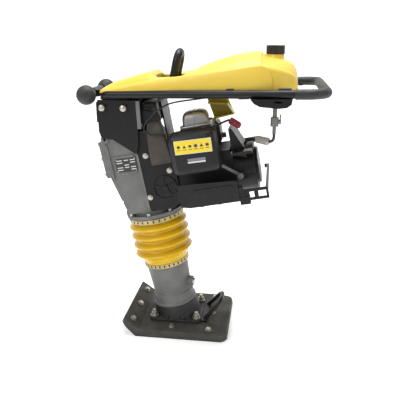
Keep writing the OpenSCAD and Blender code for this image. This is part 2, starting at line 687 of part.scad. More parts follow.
// Rubber buffers that carry the handle in the bracket, with their bolt heads
module rubber_mounts() color([0.10, 0.10, 0.10])
    for (sy = [-1, 1], x = [-217, -152]) {
        bar_y(sy > 0 ? spine_y + gap : -86, sy > 0 ? 86 : -spine_y - gap, 14, x, 744);
        bar_y(sy > 0 ? 86 : -100, sy > 0 ? 100 : -86, 6, x, 744);
        translate([x, sy * 92, 744]) rotate([sy > 0 ? -90 : 90, 0, 0]) cylinder(h = 9, r = 11, $fn = 6);
    }

module air_intake() {
    color([0.05, 0.05, 0.05]) leaning() block([42, -71, 700], [93, 71, 758]);
    color([0.16, 0.14, 0.12]) hull() {
        leaning() block([52, -70, 698], [90, -30, 700]);
        leaning() block([116, -92, 590], [134, -64, 628]);
        leaning() block([101, -84, 600], [116, -60, 640]);
    }
}

roller_x = -262;
roller_axle_r = 6;
rail_front = [-222, -88];
rail_rear = [428, -194];
// Plane of the rails, tilted up towards the operator
module on_rails() translate([0, 0, rail_z]) rotate([0, -rail_rise, 0]) children();
loop_path = [[-222, 0], rail_front, rail_rear, [428, 194], [-222, 88], [-222, 0]];
loop_bend = [0, 34, 46, 46, 34, 0];
// Half width between the rails' centres at a distance along them
function rail_y(x) = 88 + (194 - 88) * (x + 222) / 650;

lever_x = 326;
lever_y = 154;
module handle_frame() color([0.06, 0.06, 0.06]) {
    on_rails() {
        bent_tube(loop_path, loop_bend, tube_r);
        for (y = [-52, 40]) difference() {
            side_plate([[-228, -9], [-228, 9], [-262, 12], [-274, 6], [-274, -6], [-262, -12]], y, y + 12);
            bar_y(y - 1, y + 13, roller_axle_r + fit, roller_x, 0);
        }
        block([lever_x - 10, lever_y - 10, -3], [lever_x + 10, rail_y(lever_x) - 4, 3]);
        translate([lever_x, lever_y, -13]) cylinder(h = 12, r = 3);
        block([-222, -92, -14], [-140, 92, -8]);
        block([190, -rail_y(190) + 2, -14], [220, rail_y(190) - 2, -8]);
        block([-228, -60, -20], [-110, 60, -14]);
        block([-110, -36, -20], [220, 36, -14]);
    }
    for (sy = [-1, 1]) side_plate([[-222, 722], [-222, 765], [-138, 767], [-138, 722]],
        sy > 0 ? spine_y - 6 : -spine_y, sy > 0 ? spine_y : -spine_y + 6);
}

// The loop's rear end from one side to the other, starting at a distance along the rails
function rear_path(x) = [[x, -rail_y(x)], rail_rear, [rail_rear[0], -rail_rear[1]], [x, rail_y(x)]];
module grip_sleeve() color([0.09, 0.09, 0.09]) on_rails() difference() {
    bent_tube(rear_path(344), [0, 46, 46, 0], grip_r);
    bent_tube(rear_path(330), [0, 46, 46, 0], tube_r);
}

module front_roller() color([0.08, 0.08, 0.08]) on_rails() {
    bar_y(-90, 90, roller_axle_r, roller_x, 0);
    for (sy = [-1, 1]) {
        translate([roller_x, sy * 99, 0]) sphere(r = 29);
        bar_y(sy > 0 ? 56 : -80, sy > 0 ? 80 : -56, 16, roller_x, 0);
    }
    bar_y(-38, 38, 15, roller_x, 0);
}

bail_lean = 12;
bail_foot = [-23, 778.3];
bail_h = 124;
module lifting_bail() color([0.05, 0.05, 0.05])
    translate([bail_foot[0], 0, bail_foot[1]]) rotate([0, bail_lean, 0]) rotate([90, 0, 90])
        bent_tube([[-29, 0], [-29, bail_h], [29, bail_h], [29, 0]], [0, 28.9, 28.9, 0], 12.5);

// Tank stations: [x, half width at the base, base z, half width at the shoulder, shoulder z,
// half width of the crown, crown z]
tank_stations = [
    [-230, 74, 784, 70, 788, 40, 792], [-222, 92, 782, 88, 795, 50, 800], [-190, 98, 783, 94, 801, 56, 815],
    [-130, 106, 785, 102, 812, 58, 833], [-66, 114, 787, 109, 824, 56, 849], [-60, 115, 787, 110, 825, 70, 830],
    [14, 124, 790, 118, 838, 74, 835], [60, 130, 791, 124, 845, 66, 857], [120, 138, 794, 132, 855, 62, 880],
    [180, 146, 796, 140, 864, 64, 898], [236, 152, 798, 146, 871, 66, 906], [252, 152, 798, 146, 871, 67, 900],
    [262, 152, 799, 146, 871, 68, 892],
    [300, 150, 800, 140, 862, 66, 886], [334, 140, 801, 122, 850, 60, 876], [351, 120, 803, 100, 830, 50, 846]
];
function tank_ring(s) =
    let (b = s[1], h = s[3], c = s[5], low = s[2], mid = s[4], top = s[6], x = s[0])
    [[x, -b + 8, low], [x, -b, low + 5], [x, -h - 1, mid - 6], [x, -h + 5, mid], [x, -c - 12, mid + (top - mid) * 0.55],
     [x, -c, top - 1], [x, -c + 14, top], [x, c - 14, top], [x, c, top - 1], [x, c + 12, mid + (top - mid) * 0.55],
     [x, h - 5, mid], [x, h + 1, mid - 6], [x, b, low + 5], [x, b - 8, low]];

module tank_loft() {
    sides = 14;
    count = len(tank_stations);
    points = [for (s = tank_stations) each tank_ring(s)];
    walls = [for (i = [0 : count - 2], k = [0 : sides - 1]) let (n = (k + 1) % sides)
        each [[i * sides + k, i * sides + n, (i + 1) * sides + n],
            [i * sides + k, (i + 1) * sides + n, (i + 1) * sides + k]]];
    start_cap = [[for (k = [sides - 1 : -1 : 0]) k]];
    end_cap = [[for (k = [0 : sides - 1]) (count - 1) * sides + k]];
    polyhedron(points = points, faces = concat(walls, start_cap, end_cap), convexity = 8);
}

// Hollow of the tank, and the open underside of its nose ahead of the bail
module tank_hollow() {
    side_plate([[20, 800], [330, 809], [330, 866], [268, 886], [236, 896], [120, 870], [20, 828]], -58, 58);
    side_plate([[20, 800], [330, 809], [320, 842], [268, 862], [120, 845], [20, 828]], -112, 112);
    side_plate([[-186, 770], [-70, 770], [-70, 838], [-130, 822], [-186, 804]], -52, 52);
    side_plate([[-186, 770], [-70, 770], [-70, 814], [-186, 790]], -88, 88);
}

neck = [286, 872, 897];
module fuel_tank() color([0.95, 0.80, 0.15]) difference() {
    union() {
        tank_loft();
        translate([neck[0], 0, neck[1]]) cylinder(h = neck[2] - neck[1], r = neck_r_out);
    }
    union() {
        tank_hollow();
        translate([neck[0], 0, neck[1] - 20]) cylinder(h = 60, r = 21);
        block([-62, -48, 760], [12, 48, 900]);
    }
}

module fuel_cap() color([0.05, 0.05, 0.05]) translate([neck[0], 0, neck[2] + gap]) {
    difference() {
        cylinder(h = 24, r = 27);
        for (a = [0 : 15 : 345]) rotate([0, 0, a]) translate([27.5, 0, -1]) cylinder(h = 22, r = 1.6);
    }
    translate([0, 0, -14]) cylinder(h = 14, r = 20);
}

module outlet_guard() color([0.05, 0.05, 0.05]) difference() {
    side_plate([[224, 787], [234, 776], [250, 768], [300, 764], [322, 767], [334, 776], [336, 790]], -188, -150);
    side_plate([[236, 789], [246, 778], [296, 772], [318, 773], [328, 782], [330, 793]], -184, -154);
    block([288, -190, 778], [308, -180, 784]);
    translate([291, -165, 740]) cylinder(h = 40, r = 8);
    on_rails() bent_tube(loop_path, loop_bend, tube_r);
}

module fuel_cock() color([0.42, 0.42, 0.41]) {
    translate([291, -165, 738]) cylinder(h = 34, r = 6);
    translate([291, -165, 714]) cylinder(h = 24, r = 11);
    bar_y(-162, -146, 8, 291, 724);
    translate([291, -150, 690]) cylinder(h = 34, r = 5);
}

module cock_lever() color([0.42, 0.42, 0.41]) {
    translate([302.3, -165, 726]) rotate([0, 90, 0]) cylinder(h = 6, r = 6);
    translate([304, -168, 720]) cube([4, 6, 26]);
}

module fuel_filter() color([0.66, 0.60, 0.46]) translate([260, -118, 664]) rotate([0, 0, -45]) rotate([0, 90, 0]) {
    translate([0, 0, -20]) cylinder(h = 40, r = 11);
    translate([0, 0, 20]) cylinder(h = 8, r1 = 11, r2 = 4);
    translate([0, 0, -28]) cylinder(h = 8, r1 = 4, r2 = 11);
}

module fuel_hose() color([0.04, 0.04, 0.04]) {
    swept_cord(smooth_route(hose_high, 3), 4, 10);
    swept_cord(smooth_route(hose_low, 3), 4, 10);
}

// Thumb lever under the far rail, pointing at the grip
module throttle_lever() color([0.07, 0.07, 0.07]) on_rails() difference() {
    union() {
        translate([lever_x, lever_y, -11]) cylinder(h = 7.7, r = 9);
        translate([lever_x, lever_y - 4, -9]) cube([44, 8, 4]);
        translate([lever_x + 46, lever_y, -11]) cylinder(h = 7.7, r = 7);
    }
    translate([lever_x, lever_y, -12]) cylinder(h = 20, r = 3 + fit);
}

module throttle_cable() color([0.04, 0.04, 0.04]) swept_cord(smooth_route(cable_route, 3), 2.5, 8);

sole_plate();
shoe_board();
shoe_bolts();
foot_flange();
flange_studs();
foot_loop();
leg_tube();
spring_cylinder();
rod_guide();
level_plug();
lower_band();
bellows();
impact_springs();
guide_cylinder();
upper_band();
crankcase();
front_cover();
case_bolts();
clutch_housing();
shaft_bearings();
crank_gear();
pinion_shaft();
clutch_drum();
piston_rod();
con_rod();
crankshaft();
flywheel();
clutch_shoes();
engine_block();
head_cover();
air_cleaner_base();
air_cleaner_cover();
carburettor();
choke_lever();
silencer();
heat_shield();
fan_housing();
recoil_cover();
starter_pulley();
starter_grip();
starter_rope();
plug_cap();
lower_guard();
rear_bumper();
handle_bracket();
rubber_mounts();
air_intake();
handle_frame();
grip_sleeve();
front_roller();
lifting_bail();
fuel_tank();
fuel_cap();
outlet_guard();
fuel_cock();
cock_lever();
fuel_filter();
fuel_hose();
throttle_lever();
throttle_cable();
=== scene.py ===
# %% [markdown]
# # A tamping rammer, finished in Blender
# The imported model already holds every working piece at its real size: shoe, leg, drive casing, engine,
# handle and tank. This lesson adds what a drawing can't: soft mouldings, cords, labels and real surfaces.
# Nothing that came with the model is moved; new pieces ride on its bodies, and stand for plain ones.

# %% Load the model
import json
import math

import bmesh
import bpy
from mathutils import Euler, Matrix, Vector


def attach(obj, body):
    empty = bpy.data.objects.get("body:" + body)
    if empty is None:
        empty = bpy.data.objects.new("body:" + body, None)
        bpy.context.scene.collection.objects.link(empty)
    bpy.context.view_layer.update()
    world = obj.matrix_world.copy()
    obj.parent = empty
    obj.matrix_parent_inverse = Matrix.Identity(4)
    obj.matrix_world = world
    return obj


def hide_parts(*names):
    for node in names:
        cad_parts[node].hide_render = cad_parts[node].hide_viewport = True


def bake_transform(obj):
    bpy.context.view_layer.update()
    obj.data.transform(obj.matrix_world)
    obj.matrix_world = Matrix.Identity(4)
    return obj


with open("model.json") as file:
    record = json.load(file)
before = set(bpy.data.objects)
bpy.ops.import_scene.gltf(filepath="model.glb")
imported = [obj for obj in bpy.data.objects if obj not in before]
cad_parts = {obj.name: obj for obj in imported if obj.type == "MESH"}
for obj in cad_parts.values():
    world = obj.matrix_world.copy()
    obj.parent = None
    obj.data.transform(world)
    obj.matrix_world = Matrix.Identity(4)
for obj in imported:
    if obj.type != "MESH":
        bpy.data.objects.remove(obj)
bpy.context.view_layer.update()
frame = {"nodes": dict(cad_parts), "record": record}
nodes = frame["nodes"]
scene = bpy.context.scene

# %% [markdown]
# ## The camera
# The machine is seen from its air cleaner side, a little from behind the lens axis and from above, with a
# mildly long lens so that the tall body keeps its proportions. The camera comes before any piece, because
# everything else is judged through it.

# %% Camera
CAMERA_PLACE = (0.282, -1.617, 0.974)
CAMERA_DOWN = 18.2
CAMERA_TURN = 7.7
camera_data = bpy.data.cameras.new("camera")
camera_data.lens = 47.6
camera_data.sensor_width = 36
camera = bpy.data.objects.new("camera", camera_data)
camera.location = CAMERA_PLACE
camera.rotation_euler = Euler((math.radians(90 - CAMERA_DOWN), 0, math.radians(CAMERA_TURN)))
scene.collection.objects.link(camera)
scene.camera = camera
print("camera", CAMERA_PLACE)

# %% [markdown]
# ## Places on the leaning machine
# The leg leans forward, so most places are easier to say along the leg (w), across it (u) and sideways (y).
# One matrix turns such a place into the upright frame. All places below are in millimetres, as on a
# workshop drawing, and every helper turns them into metres.

# %% The leaning frame and the rails' frame
MM = 0.001
LEAN = math.radians(11)
LEG_X = -7
RAIL_Z = 790
RAIL_RISE = math.radians(2)
UPRIGHT = Matrix.Scale(MM, 4)
LEANING = UPRIGHT @ Matrix.Translation((LEG_X, 0, 0)) @ Matrix.Rotation(-LEAN, 4, "Y")
RAILS = UPRIGHT @ Matrix.Translation((0, 0, RAIL_Z)) @ Matrix.Rotation(-RAIL_RISE, 4, "Y")


def at(place):
    """A drawing place in millimetres as a point in metres."""
    return LEANING @ Vector(place)


def facing(place, turn, base=LEANING):
    """A matrix for a piece drawn flat at the origin: set at a place and turned by degrees about X, Y, Z."""
    angles = [math.radians(a) for a in turn]
    return base @ Matrix.Translation(place) @ Euler(angles).to_matrix().to_4x4()


print("leg axis leans", round(math.degrees(LEAN), 1), "degrees")

# %% [markdown]
# ## Mesh helpers
# Four ways of making a surface cover almost every piece here: a loft through rings, a lathe turned round an
# axis, a cord swept along a route, and a plate cut from an outline. Each gives a plain mesh, so bevels and
# subdivision can follow where an edge needs them.

# %% Loft, lathe, sweep and plate
def make_piece(name, points, faces, smooth=True):
    """A mesh object from points in metres, with its faces turned outwards."""
    mesh = bpy.data.meshes.new(name)
    mesh.from_pydata([tuple(p) for p in points], [], faces)
    edit = bmesh.new()
    edit.from_mesh(mesh)
    bmesh.ops.remove_doubles(edit, verts=edit.verts, dist=1e-6)
    bmesh.ops.recalc_face_normals(edit, faces=edit.faces)
    edit.to_mesh(mesh)
    edit.free()
    for polygon in mesh.polygons:
        polygon.use_smooth = smooth
    piece = bpy.data.objects.new(name, mesh)
    scene.collection.objects.link(piece)
    return piece


def loft_data(rings):
    """Points and faces of a capped skin through rings of equal length."""
    sides = len(rings[0])
    count = len(rings)
    points = [p for ring in rings for p in ring]
    faces = []
    for i in range(count - 1):
        for k in range(sides):
            n = (k + 1) % sides
            faces.append((i * sides + k, i * sides + n, (i + 1) * sides + n, (i + 1) * sides + k))
    faces.append(tuple(range(sides)))
    faces.append(tuple(range((count - 1) * sides, count * sides)))
    return points, faces


def lathe(name, outline, place, sides=72, closed=True):
    """Turns an outline of (radius, height) in millimetres round the Z axis of a matrix."""
    rings = []
    for k in range(sides):
        a = 2 * math.pi * k / sides
        rings.append([place @ Vector((r * math.cos(a), r * math.sin(a), h)) for r, h in outline])
    points = [p for ring in rings for p in ring]
    span = len(outline)
    faces = []
    for k in range(sides):
        n = (k + 1) % sides
        for i in range(span if closed else span - 1):
            j = (i + 1) % span
            faces.append((k * span + i, k * span + j, n * span + j, n * span + i))
    return make_piece(name, points, faces)


def curve_through(route, steps):
    """Points of a smooth curve through a route, a fixed number between each two."""
    points = []
    last = len(route) - 1
    for i in range(last):
        p, q = Vector(route[max(i - 1, 0)]), Vector(route[i])
        r, s = Vector(route[i + 1]), Vector(route[min(i + 2, last)])
        for k in range(steps):
            t = k / steps
            points.append(0.5 * (2 * q + (r - p) * t + (2 * p - 5 * q + 4 * r - s) * t ** 2
                                 + (3 * q - p - 3 * r + s) * t ** 3))
    points.append(Vector(route[last]))
    return points


def sweep(name, route, radius, sides=16):
    """A round cord along points in metres. Radius is a number, or a function of the distance so far."""
    heading = (route[1] - route[0]).normalized()
    side = heading.orthogonal().normalized()
    rings = []
    travelled = 0
    for i, point in enumerate(route):
        ahead = route[min(i + 1, len(route) - 1)] - route[max(i - 1, 0)]
        heading = ahead.normalized()
        side = (side - heading * side.dot(heading)).normalized()
        other = heading.cross(side)
        if i:
            travelled += (point - route[i - 1]).length
        r = radius(travelled) if callable(radius) else radius
        rings.append([point + r * (math.cos(2 * math.pi * k / sides) * side
                                   + math.sin(2 * math.pi * k / sides) * other) for k in range(sides)])
    points, faces = loft_data(rings)
    piece = make_piece(name, points, faces)
    flat_caps(piece)
    return piece


def flat_caps(piece, sides=4):
    """Keeps the end caps of a loft flat, so that their rims stay crisp."""
    for polygon in piece.data.polygons:
        if len(polygon.vertices) > sides:
            polygon.use_smooth = False


def round_rect(length, width, radius, steps=6):
    """Points of a rectangle with round corners, centred, in millimetres."""
    radius = min(radius, length / 2 - 0.01, width / 2 - 0.01)
    points = []
    for sx, sy, first in ((1, 1, 0), (-1, 1, 90), (-1, -1, 180), (1, -1, 270)):
        for k in range(steps + 1):
            a = math.radians(first + 90 * k / steps)
            points.append((sx * (length / 2 - radius) + radius * math.cos(a),
                           sy * (width / 2 - radius) + radius * math.sin(a)))
    return points


def pad(name, levels, place, steps=6):
    """A stack of round-cornered outlines: each level is (height, length, width, corner radius)."""
    rings = []
    for height, length, width, radius in levels:
        rings.append([place @ Vector((x, y, height)) for x, y in round_rect(length, width, radius, steps)])
    points, faces = loft_data(rings)
    piece = make_piece(name, points, faces)
    flat_caps(piece)
    return piece


def plate(name, outline, thickness, place, bevel=0.0):
    """A flat plate cut from an outline in millimetres, standing on its lower face, with a small bevel."""
    rings = [[place @ Vector((x, y, h)) for x, y in outline] for h in (0, thickness)]
    points, faces = loft_data(rings)
    piece = make_piece(name, points, faces, smooth=False)
    if bevel:
        soften(piece, bevel)
    return piece


def soften(piece, width):
    """Rounds every hard edge of a piece by a width in millimetres."""
    edge = piece.modifiers.new("edge", "BEVEL")
    edge.width = width * MM
    edge.segments = 2
    edge.limit_method = "ANGLE"
    edge.angle_limit = math.radians(35)
    edge.harden_normals = False
    return piece


def join(name, pieces):
    """Several meshes as one piece."""
    for piece in pieces:
        apply_modifiers(piece)
    whole = bmesh.new()
    for piece in pieces:
        whole.from_mesh(piece.data)
    mesh = bpy.data.meshes.new(name)
    whole.to_mesh(mesh)
    whole.free()
    for piece in pieces:
        bpy.data.objects.remove(piece)
    joined = bpy.data.objects.new(name, mesh)
    scene.collection.objects.link(joined)
    return joined


def apply_modifiers(piece):
    """Fixes a piece's modifiers into its mesh."""
    bpy.context.view_layer.update()
    seen = piece.evaluated_get(bpy.context.evaluated_depsgraph_get())
    mesh = bpy.data.meshes.new_from_object(seen)
    piece.modifiers.clear()
    piece.data = mesh
    return piece


def finish_piece(piece, material, body):
    """Gives a piece its material and its body."""
    piece.data.materials.clear()
    piece.data.materials.append(material)
    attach(piece, body)
    return piece


print("helpers ready")

# %% [markdown]
# ## Shared surface effects
# Real machines are told from toys by small things: grain in a casting, paint gone at the corners, dust on
# what faces up. Each effect is a node group with named inputs, so that every material uses the same one
# with its own values. The groups give only masks and heights; the shader stays in its material.

# %% Node group: a helper for wiring
def new_group(name, inputs, outputs):
    """An empty shader node group with float inputs (name, value) and outputs (name)."""
    group = bpy.data.node_groups.new(name, "ShaderNodeTree")
    for label, value in inputs:
        socket = group.interface.new_socket(name=label, in_out="INPUT", socket_type="NodeSocketFloat")
        socket.default_value = value
    for label in outputs:
        group.interface.new_socket(name=label, in_out="OUTPUT", socket_type="NodeSocketFloat")
    return group, group.nodes.new("NodeGroupInput"), group.nodes.new("NodeGroupOutput")


def add(tree, kind, **settings):
    """A node of a kind, with its own settings."""
    node = tree.nodes.new(kind)
    for key, value in settings.items():
        setattr(node, key, value)
    return node


def math_node(tree, operation, first, second=None, clamp=False):
    """A Math node; each of its inputs is a socket or a number."""
    node = add(tree, "ShaderNodeMath", operation=operation, use_clamp=clamp)
    for socket, value in zip(node.inputs, (first, second)):
        if value is None:
            continue
        if isinstance(value, (int, float)):
            socket.default_value = value
        else:
            tree.links.new(value, socket)
    return node.outputs[0]


def ramp(tree, value, low, high, to_low=0.0, to_high=1.0):
    """A value stretched from one span to another, and held there."""
    node = add(tree, "ShaderNodeMapRange", clamp=True)
    tree.links.new(value, node.inputs["Value"])
    for key, number in (("From Min", low), ("From Max", high), ("To Min", to_low), ("To Max", to_high)):
        if isinstance(number, (int, float)):
            node.inputs[key].default_value = number
        else:
            tree.links.new(number, node.inputs[key])
    return node.outputs[0]


def noise(tree, scale, detail=3.0, stretch=None, seed=0.0):
    """Noise in the piece's own space. Scale is a socket or a number per metre; stretch scales each axis."""
    place = add(tree, "ShaderNodeTexCoord").outputs["Object"]
    if stretch or seed:
        mapping = add(tree, "ShaderNodeMapping")
        tree.links.new(place, mapping.inputs["Vector"])
        mapping.inputs["Scale"].default_value = stretch or (1, 1, 1)
        mapping.inputs["Location"].default_value = (seed, seed * 0.7, seed * 0.3)
        place = mapping.outputs[0]
    node = add(tree, "ShaderNodeTexNoise")
    node.inputs["Detail"].default_value = detail
    tree.links.new(place, node.inputs["Vector"])
    if isinstance(scale, (int, float)):
        node.inputs["Scale"].default_value = scale
    else:
        tree.links.new(scale, node.inputs["Scale"])
    return node.outputs[0]


print("wiring helpers ready")

# %% [markdown]
# ### Edge wear
# Paint goes first where two faces meet. A rounded normal differs from the true one only near an edge, so
# the difference between the two, broken up by noise, is a mask of worn corners.

# %% Node group: edge wear
def make_edge_wear():
    group, given, out = new_group("edge_wear", [("Amount", 0.5), ("Scale", 120.0)], ["Mask"])
    soft = add(group, "ShaderNodeBevel", samples=4)
    soft.inputs["Radius"].default_value = 0.0016
    true = add(group, "ShaderNodeNewGeometry")
    dot = add(group, "ShaderNodeVectorMath", operation="DOT_PRODUCT")
    group.links.new(soft.outputs[0], dot.inputs[0])
    group.links.new(true.outputs["Normal"], dot.inputs[1])
    edge = ramp(group, dot.outputs["Value"], 0.995, 0.90)
    broken = ramp(group, noise(group, given.outputs["Scale"], 4.0), 0.42, 0.66)
    worn = math_node(group, "MULTIPLY", edge, broken)
    group.links.new(math_node(group, "MULTIPLY", worn, given.outputs["Amount"], True), out.inputs["Mask"])
    return group


EDGE_WEAR = make_edge_wear()
print("group", EDGE_WEAR.name)

# %% [markdown]
# ### Casting grain, mould grain and mottle
# Sand casting leaves a pebbled skin of about a millimetre, and moulded plastic a much finer one. One group
# gives both, as a height, with a slow mottle that shifts colour and gloss from place to place.

# %% Node group: grain
def make_grain():
    group, given, out = new_group("grain", [("Scale", 700.0), ("Depth", 1.0)], ["Height", "Mottle"])
    fine = noise(group, given.outputs["Scale"], 2.0)
    coarse = noise(group, math_node(group, "MULTIPLY", given.outputs["Scale"], 0.22), 3.0, seed=4.0)
    fine_part = math_node(group, "MULTIPLY", fine, 0.6)
    both = math_node(group, "ADD", fine_part, math_node(group, "MULTIPLY", coarse, 0.4))
    group.links.new(math_node(group, "MULTIPLY", both, given.outputs["Depth"]), out.inputs["Height"])
    group.links.new(ramp(group, noise(group, 22.0, 4.0, seed=9.0), 0.30, 0.70), out.inputs["Mottle"])
    return group


GRAIN = make_grain()
print("group", GRAIN.name)

# %% [markdown]
# ### Settled dust
# A rammer works in dust, which stays on what faces up and in rough corners. The upward part of the normal,
# broken by two noises, is where it lies.

# %% Node group: settled dust
def make_dust():
    group, given, out = new_group("settled_dust", [("Amount", 0.3), ("Lowest", 0.35)], ["Mask"])
    true = add(group, "ShaderNodeNewGeometry")
    split = add(group, "ShaderNodeSeparateXYZ")
    group.links.new(true.outputs["Normal"], split.inputs[0])
    up = ramp(group, split.outputs["Z"], given.outputs["Lowest"], 1.0)
    patch = ramp(group, noise(group, 16.0, 5.0, seed=2.0), 0.35, 0.75)
    speck = ramp(group, noise(group, 420.0, 2.0, seed=6.0), 0.48, 0.70, 0.45, 1.0)
    lying = math_node(group, "MULTIPLY", math_node(group, "MULTIPLY", up, patch), speck)
    group.links.new(math_node(group, "MULTIPLY", lying, given.outputs["Amount"], True), out.inputs["Mask"])
    return group


DUST = make_dust()
print("group", DUST.name)

# %% [markdown]
# ### Fine scratches
# Handling leaves hair lines that catch the light. Noise stretched far along one axis is a set of streaks,
# and a narrow band of it is thin lines.

# %% Node group: fine scratches
def make_scratches():
    group, given, out = new_group("fine_scratches", [("Amount", 0.3), ("Scale", 30.0)], ["Mask"])
    streak = noise(group, given.outputs["Scale"], 2.0, stretch=(1.0, 14.0, 9.0))
    other = noise(group, given.outputs["Scale"], 2.0, stretch=(11.0, 1.0, 16.0), seed=3.0)
    lines = []
    for field in (streak, other):
        away = math_node(group, "ABSOLUTE", math_node(group, "SUBTRACT", field, 0.5))
        lines.append(ramp(group, away, 0.012, 0.0))
    either = math_node(group, "MAXIMUM", lines[0], lines[1])
    group.links.new(math_node(group, "MULTIPLY", either, given.outputs["Amount"], True), out.inputs["Mask"])
    return group


SCRATCHES = make_scratches()
print("group", SCRATCHES.name)

# %% [markdown]
# ## The finishes
# Most finishes here are a base colour, varied by the mottle, with bare metal or pale plastic at the edges
# and dust on top. One builder wires that up from a short description, and each real finish is a call with
# its own values. What is constant stays on the shader's own sockets.

# %% Builder of a finish
def group_node(tree, group, **values):
    node = add(tree, "ShaderNodeGroup", node_tree=group)
    for key, value in values.items():
        node.inputs[key].default_value = value
    return node


def blend_colour(tree, mask, first, second):
    """A Mix of two colours by a mask; each colour is a socket or three numbers."""
    node = add(tree, "ShaderNodeMix", data_type="RGBA")
    tree.links.new(mask, node.inputs["Factor"])
    for socket, value in ((node.inputs[6], first), (node.inputs[7], second)):
        if isinstance(value, tuple):
            socket.default_value = (*value, 1)
        else:
            tree.links.new(value, socket)
    return node.outputs[2]


def make_finish(name, colour, roughness, metallic=0.0, shade=0.82, grain=(700.0, 0.15), wear=0.0,
                wear_colour=(0.45, 0.45, 0.44), dust=0.0, dust_colour=(0.42, 0.38, 0.32), scratch=0.0,
                coat=0.0, sheen=0.0, specular=0.5, painted_crease_shade=None):
    """A procedural finish. Grain is (bumps per metre, depth in millimetres)."""
    material = bpy.data.materials.new(name)
    material.use_nodes = True
    tree = material.node_tree
    shader = tree.nodes["Principled BSDF"]
    shader.inputs["Coat Weight"].default_value = coat
    shader.inputs["Coat Roughness"].default_value = 0.12
    shader.inputs["Sheen Weight"].default_value = sheen
    shader.inputs["Specular IOR Level"].default_value = specular
    skin = group_node(tree, GRAIN, Scale=grain[0], Depth=1.0)
    darker = tuple(c * shade for c in colour)
    base = blend_colour(tree, skin.outputs["Mottle"], colour, darker)
    rough = ramp(tree, skin.outputs["Mottle"], 0.0, 1.0, roughness * 0.88, min(roughness * 1.18, 1.0))
    metal = None
    if scratch:
        lines = group_node(tree, SCRATCHES, Amount=scratch, Scale=30.0).outputs["Mask"]
        base = blend_colour(tree, lines, base, tuple(min(c * 1.5 + 0.06, 1.0) for c in colour))
        rough = math_node(tree, "ADD", rough, math_node(tree, "MULTIPLY", lines, 0.15))
    if wear:
        worn = group_node(tree, EDGE_WEAR, Amount=wear, Scale=120.0).outputs["Mask"]
        base = blend_colour(tree, worn, base, wear_colour)
        if metallic == 0.0:
            metal = math_node(tree, "MULTIPLY", worn, 0.8)
    if dust:
        lying = group_node(tree, DUST, Amount=dust, Lowest=0.35).outputs["Mask"]
        base = blend_colour(tree, lying, base, dust_colour)
        rough = ramp(tree, lying, 0.0, 1.0, rough, 0.9)
    # Painted shade: an ambient occlusion mask pulls the base colour towards a dark colour in creases and
    # hollows.
    if painted_crease_shade:
        crease_shade_ao = add(tree, "ShaderNodeAmbientOcclusion")
        crease_shade_ao.inputs["Distance"].default_value = 0.025
        base = blend_colour(tree, ramp(tree, crease_shade_ao.outputs["AO"], 0.30, 0.85), painted_crease_shade, base)
    tree.links.new(base, shader.inputs["Base Color"])
    tree.links.new(rough, shader.inputs["Roughness"])
    if metal is None:
        shader.inputs["Metallic"].default_value = metallic
    else:
        tree.links.new(metal, shader.inputs["Metallic"])
    bump = add(tree, "ShaderNodeBump")
    bump.inputs["Distance"].default_value = grain[1] * MM
    tree.links.new(skin.outputs["Height"], bump.inputs["Height"])
    tree.links.new(bump.outputs[0], shader.inputs["Normal"])
    return material


print("finish builder ready")
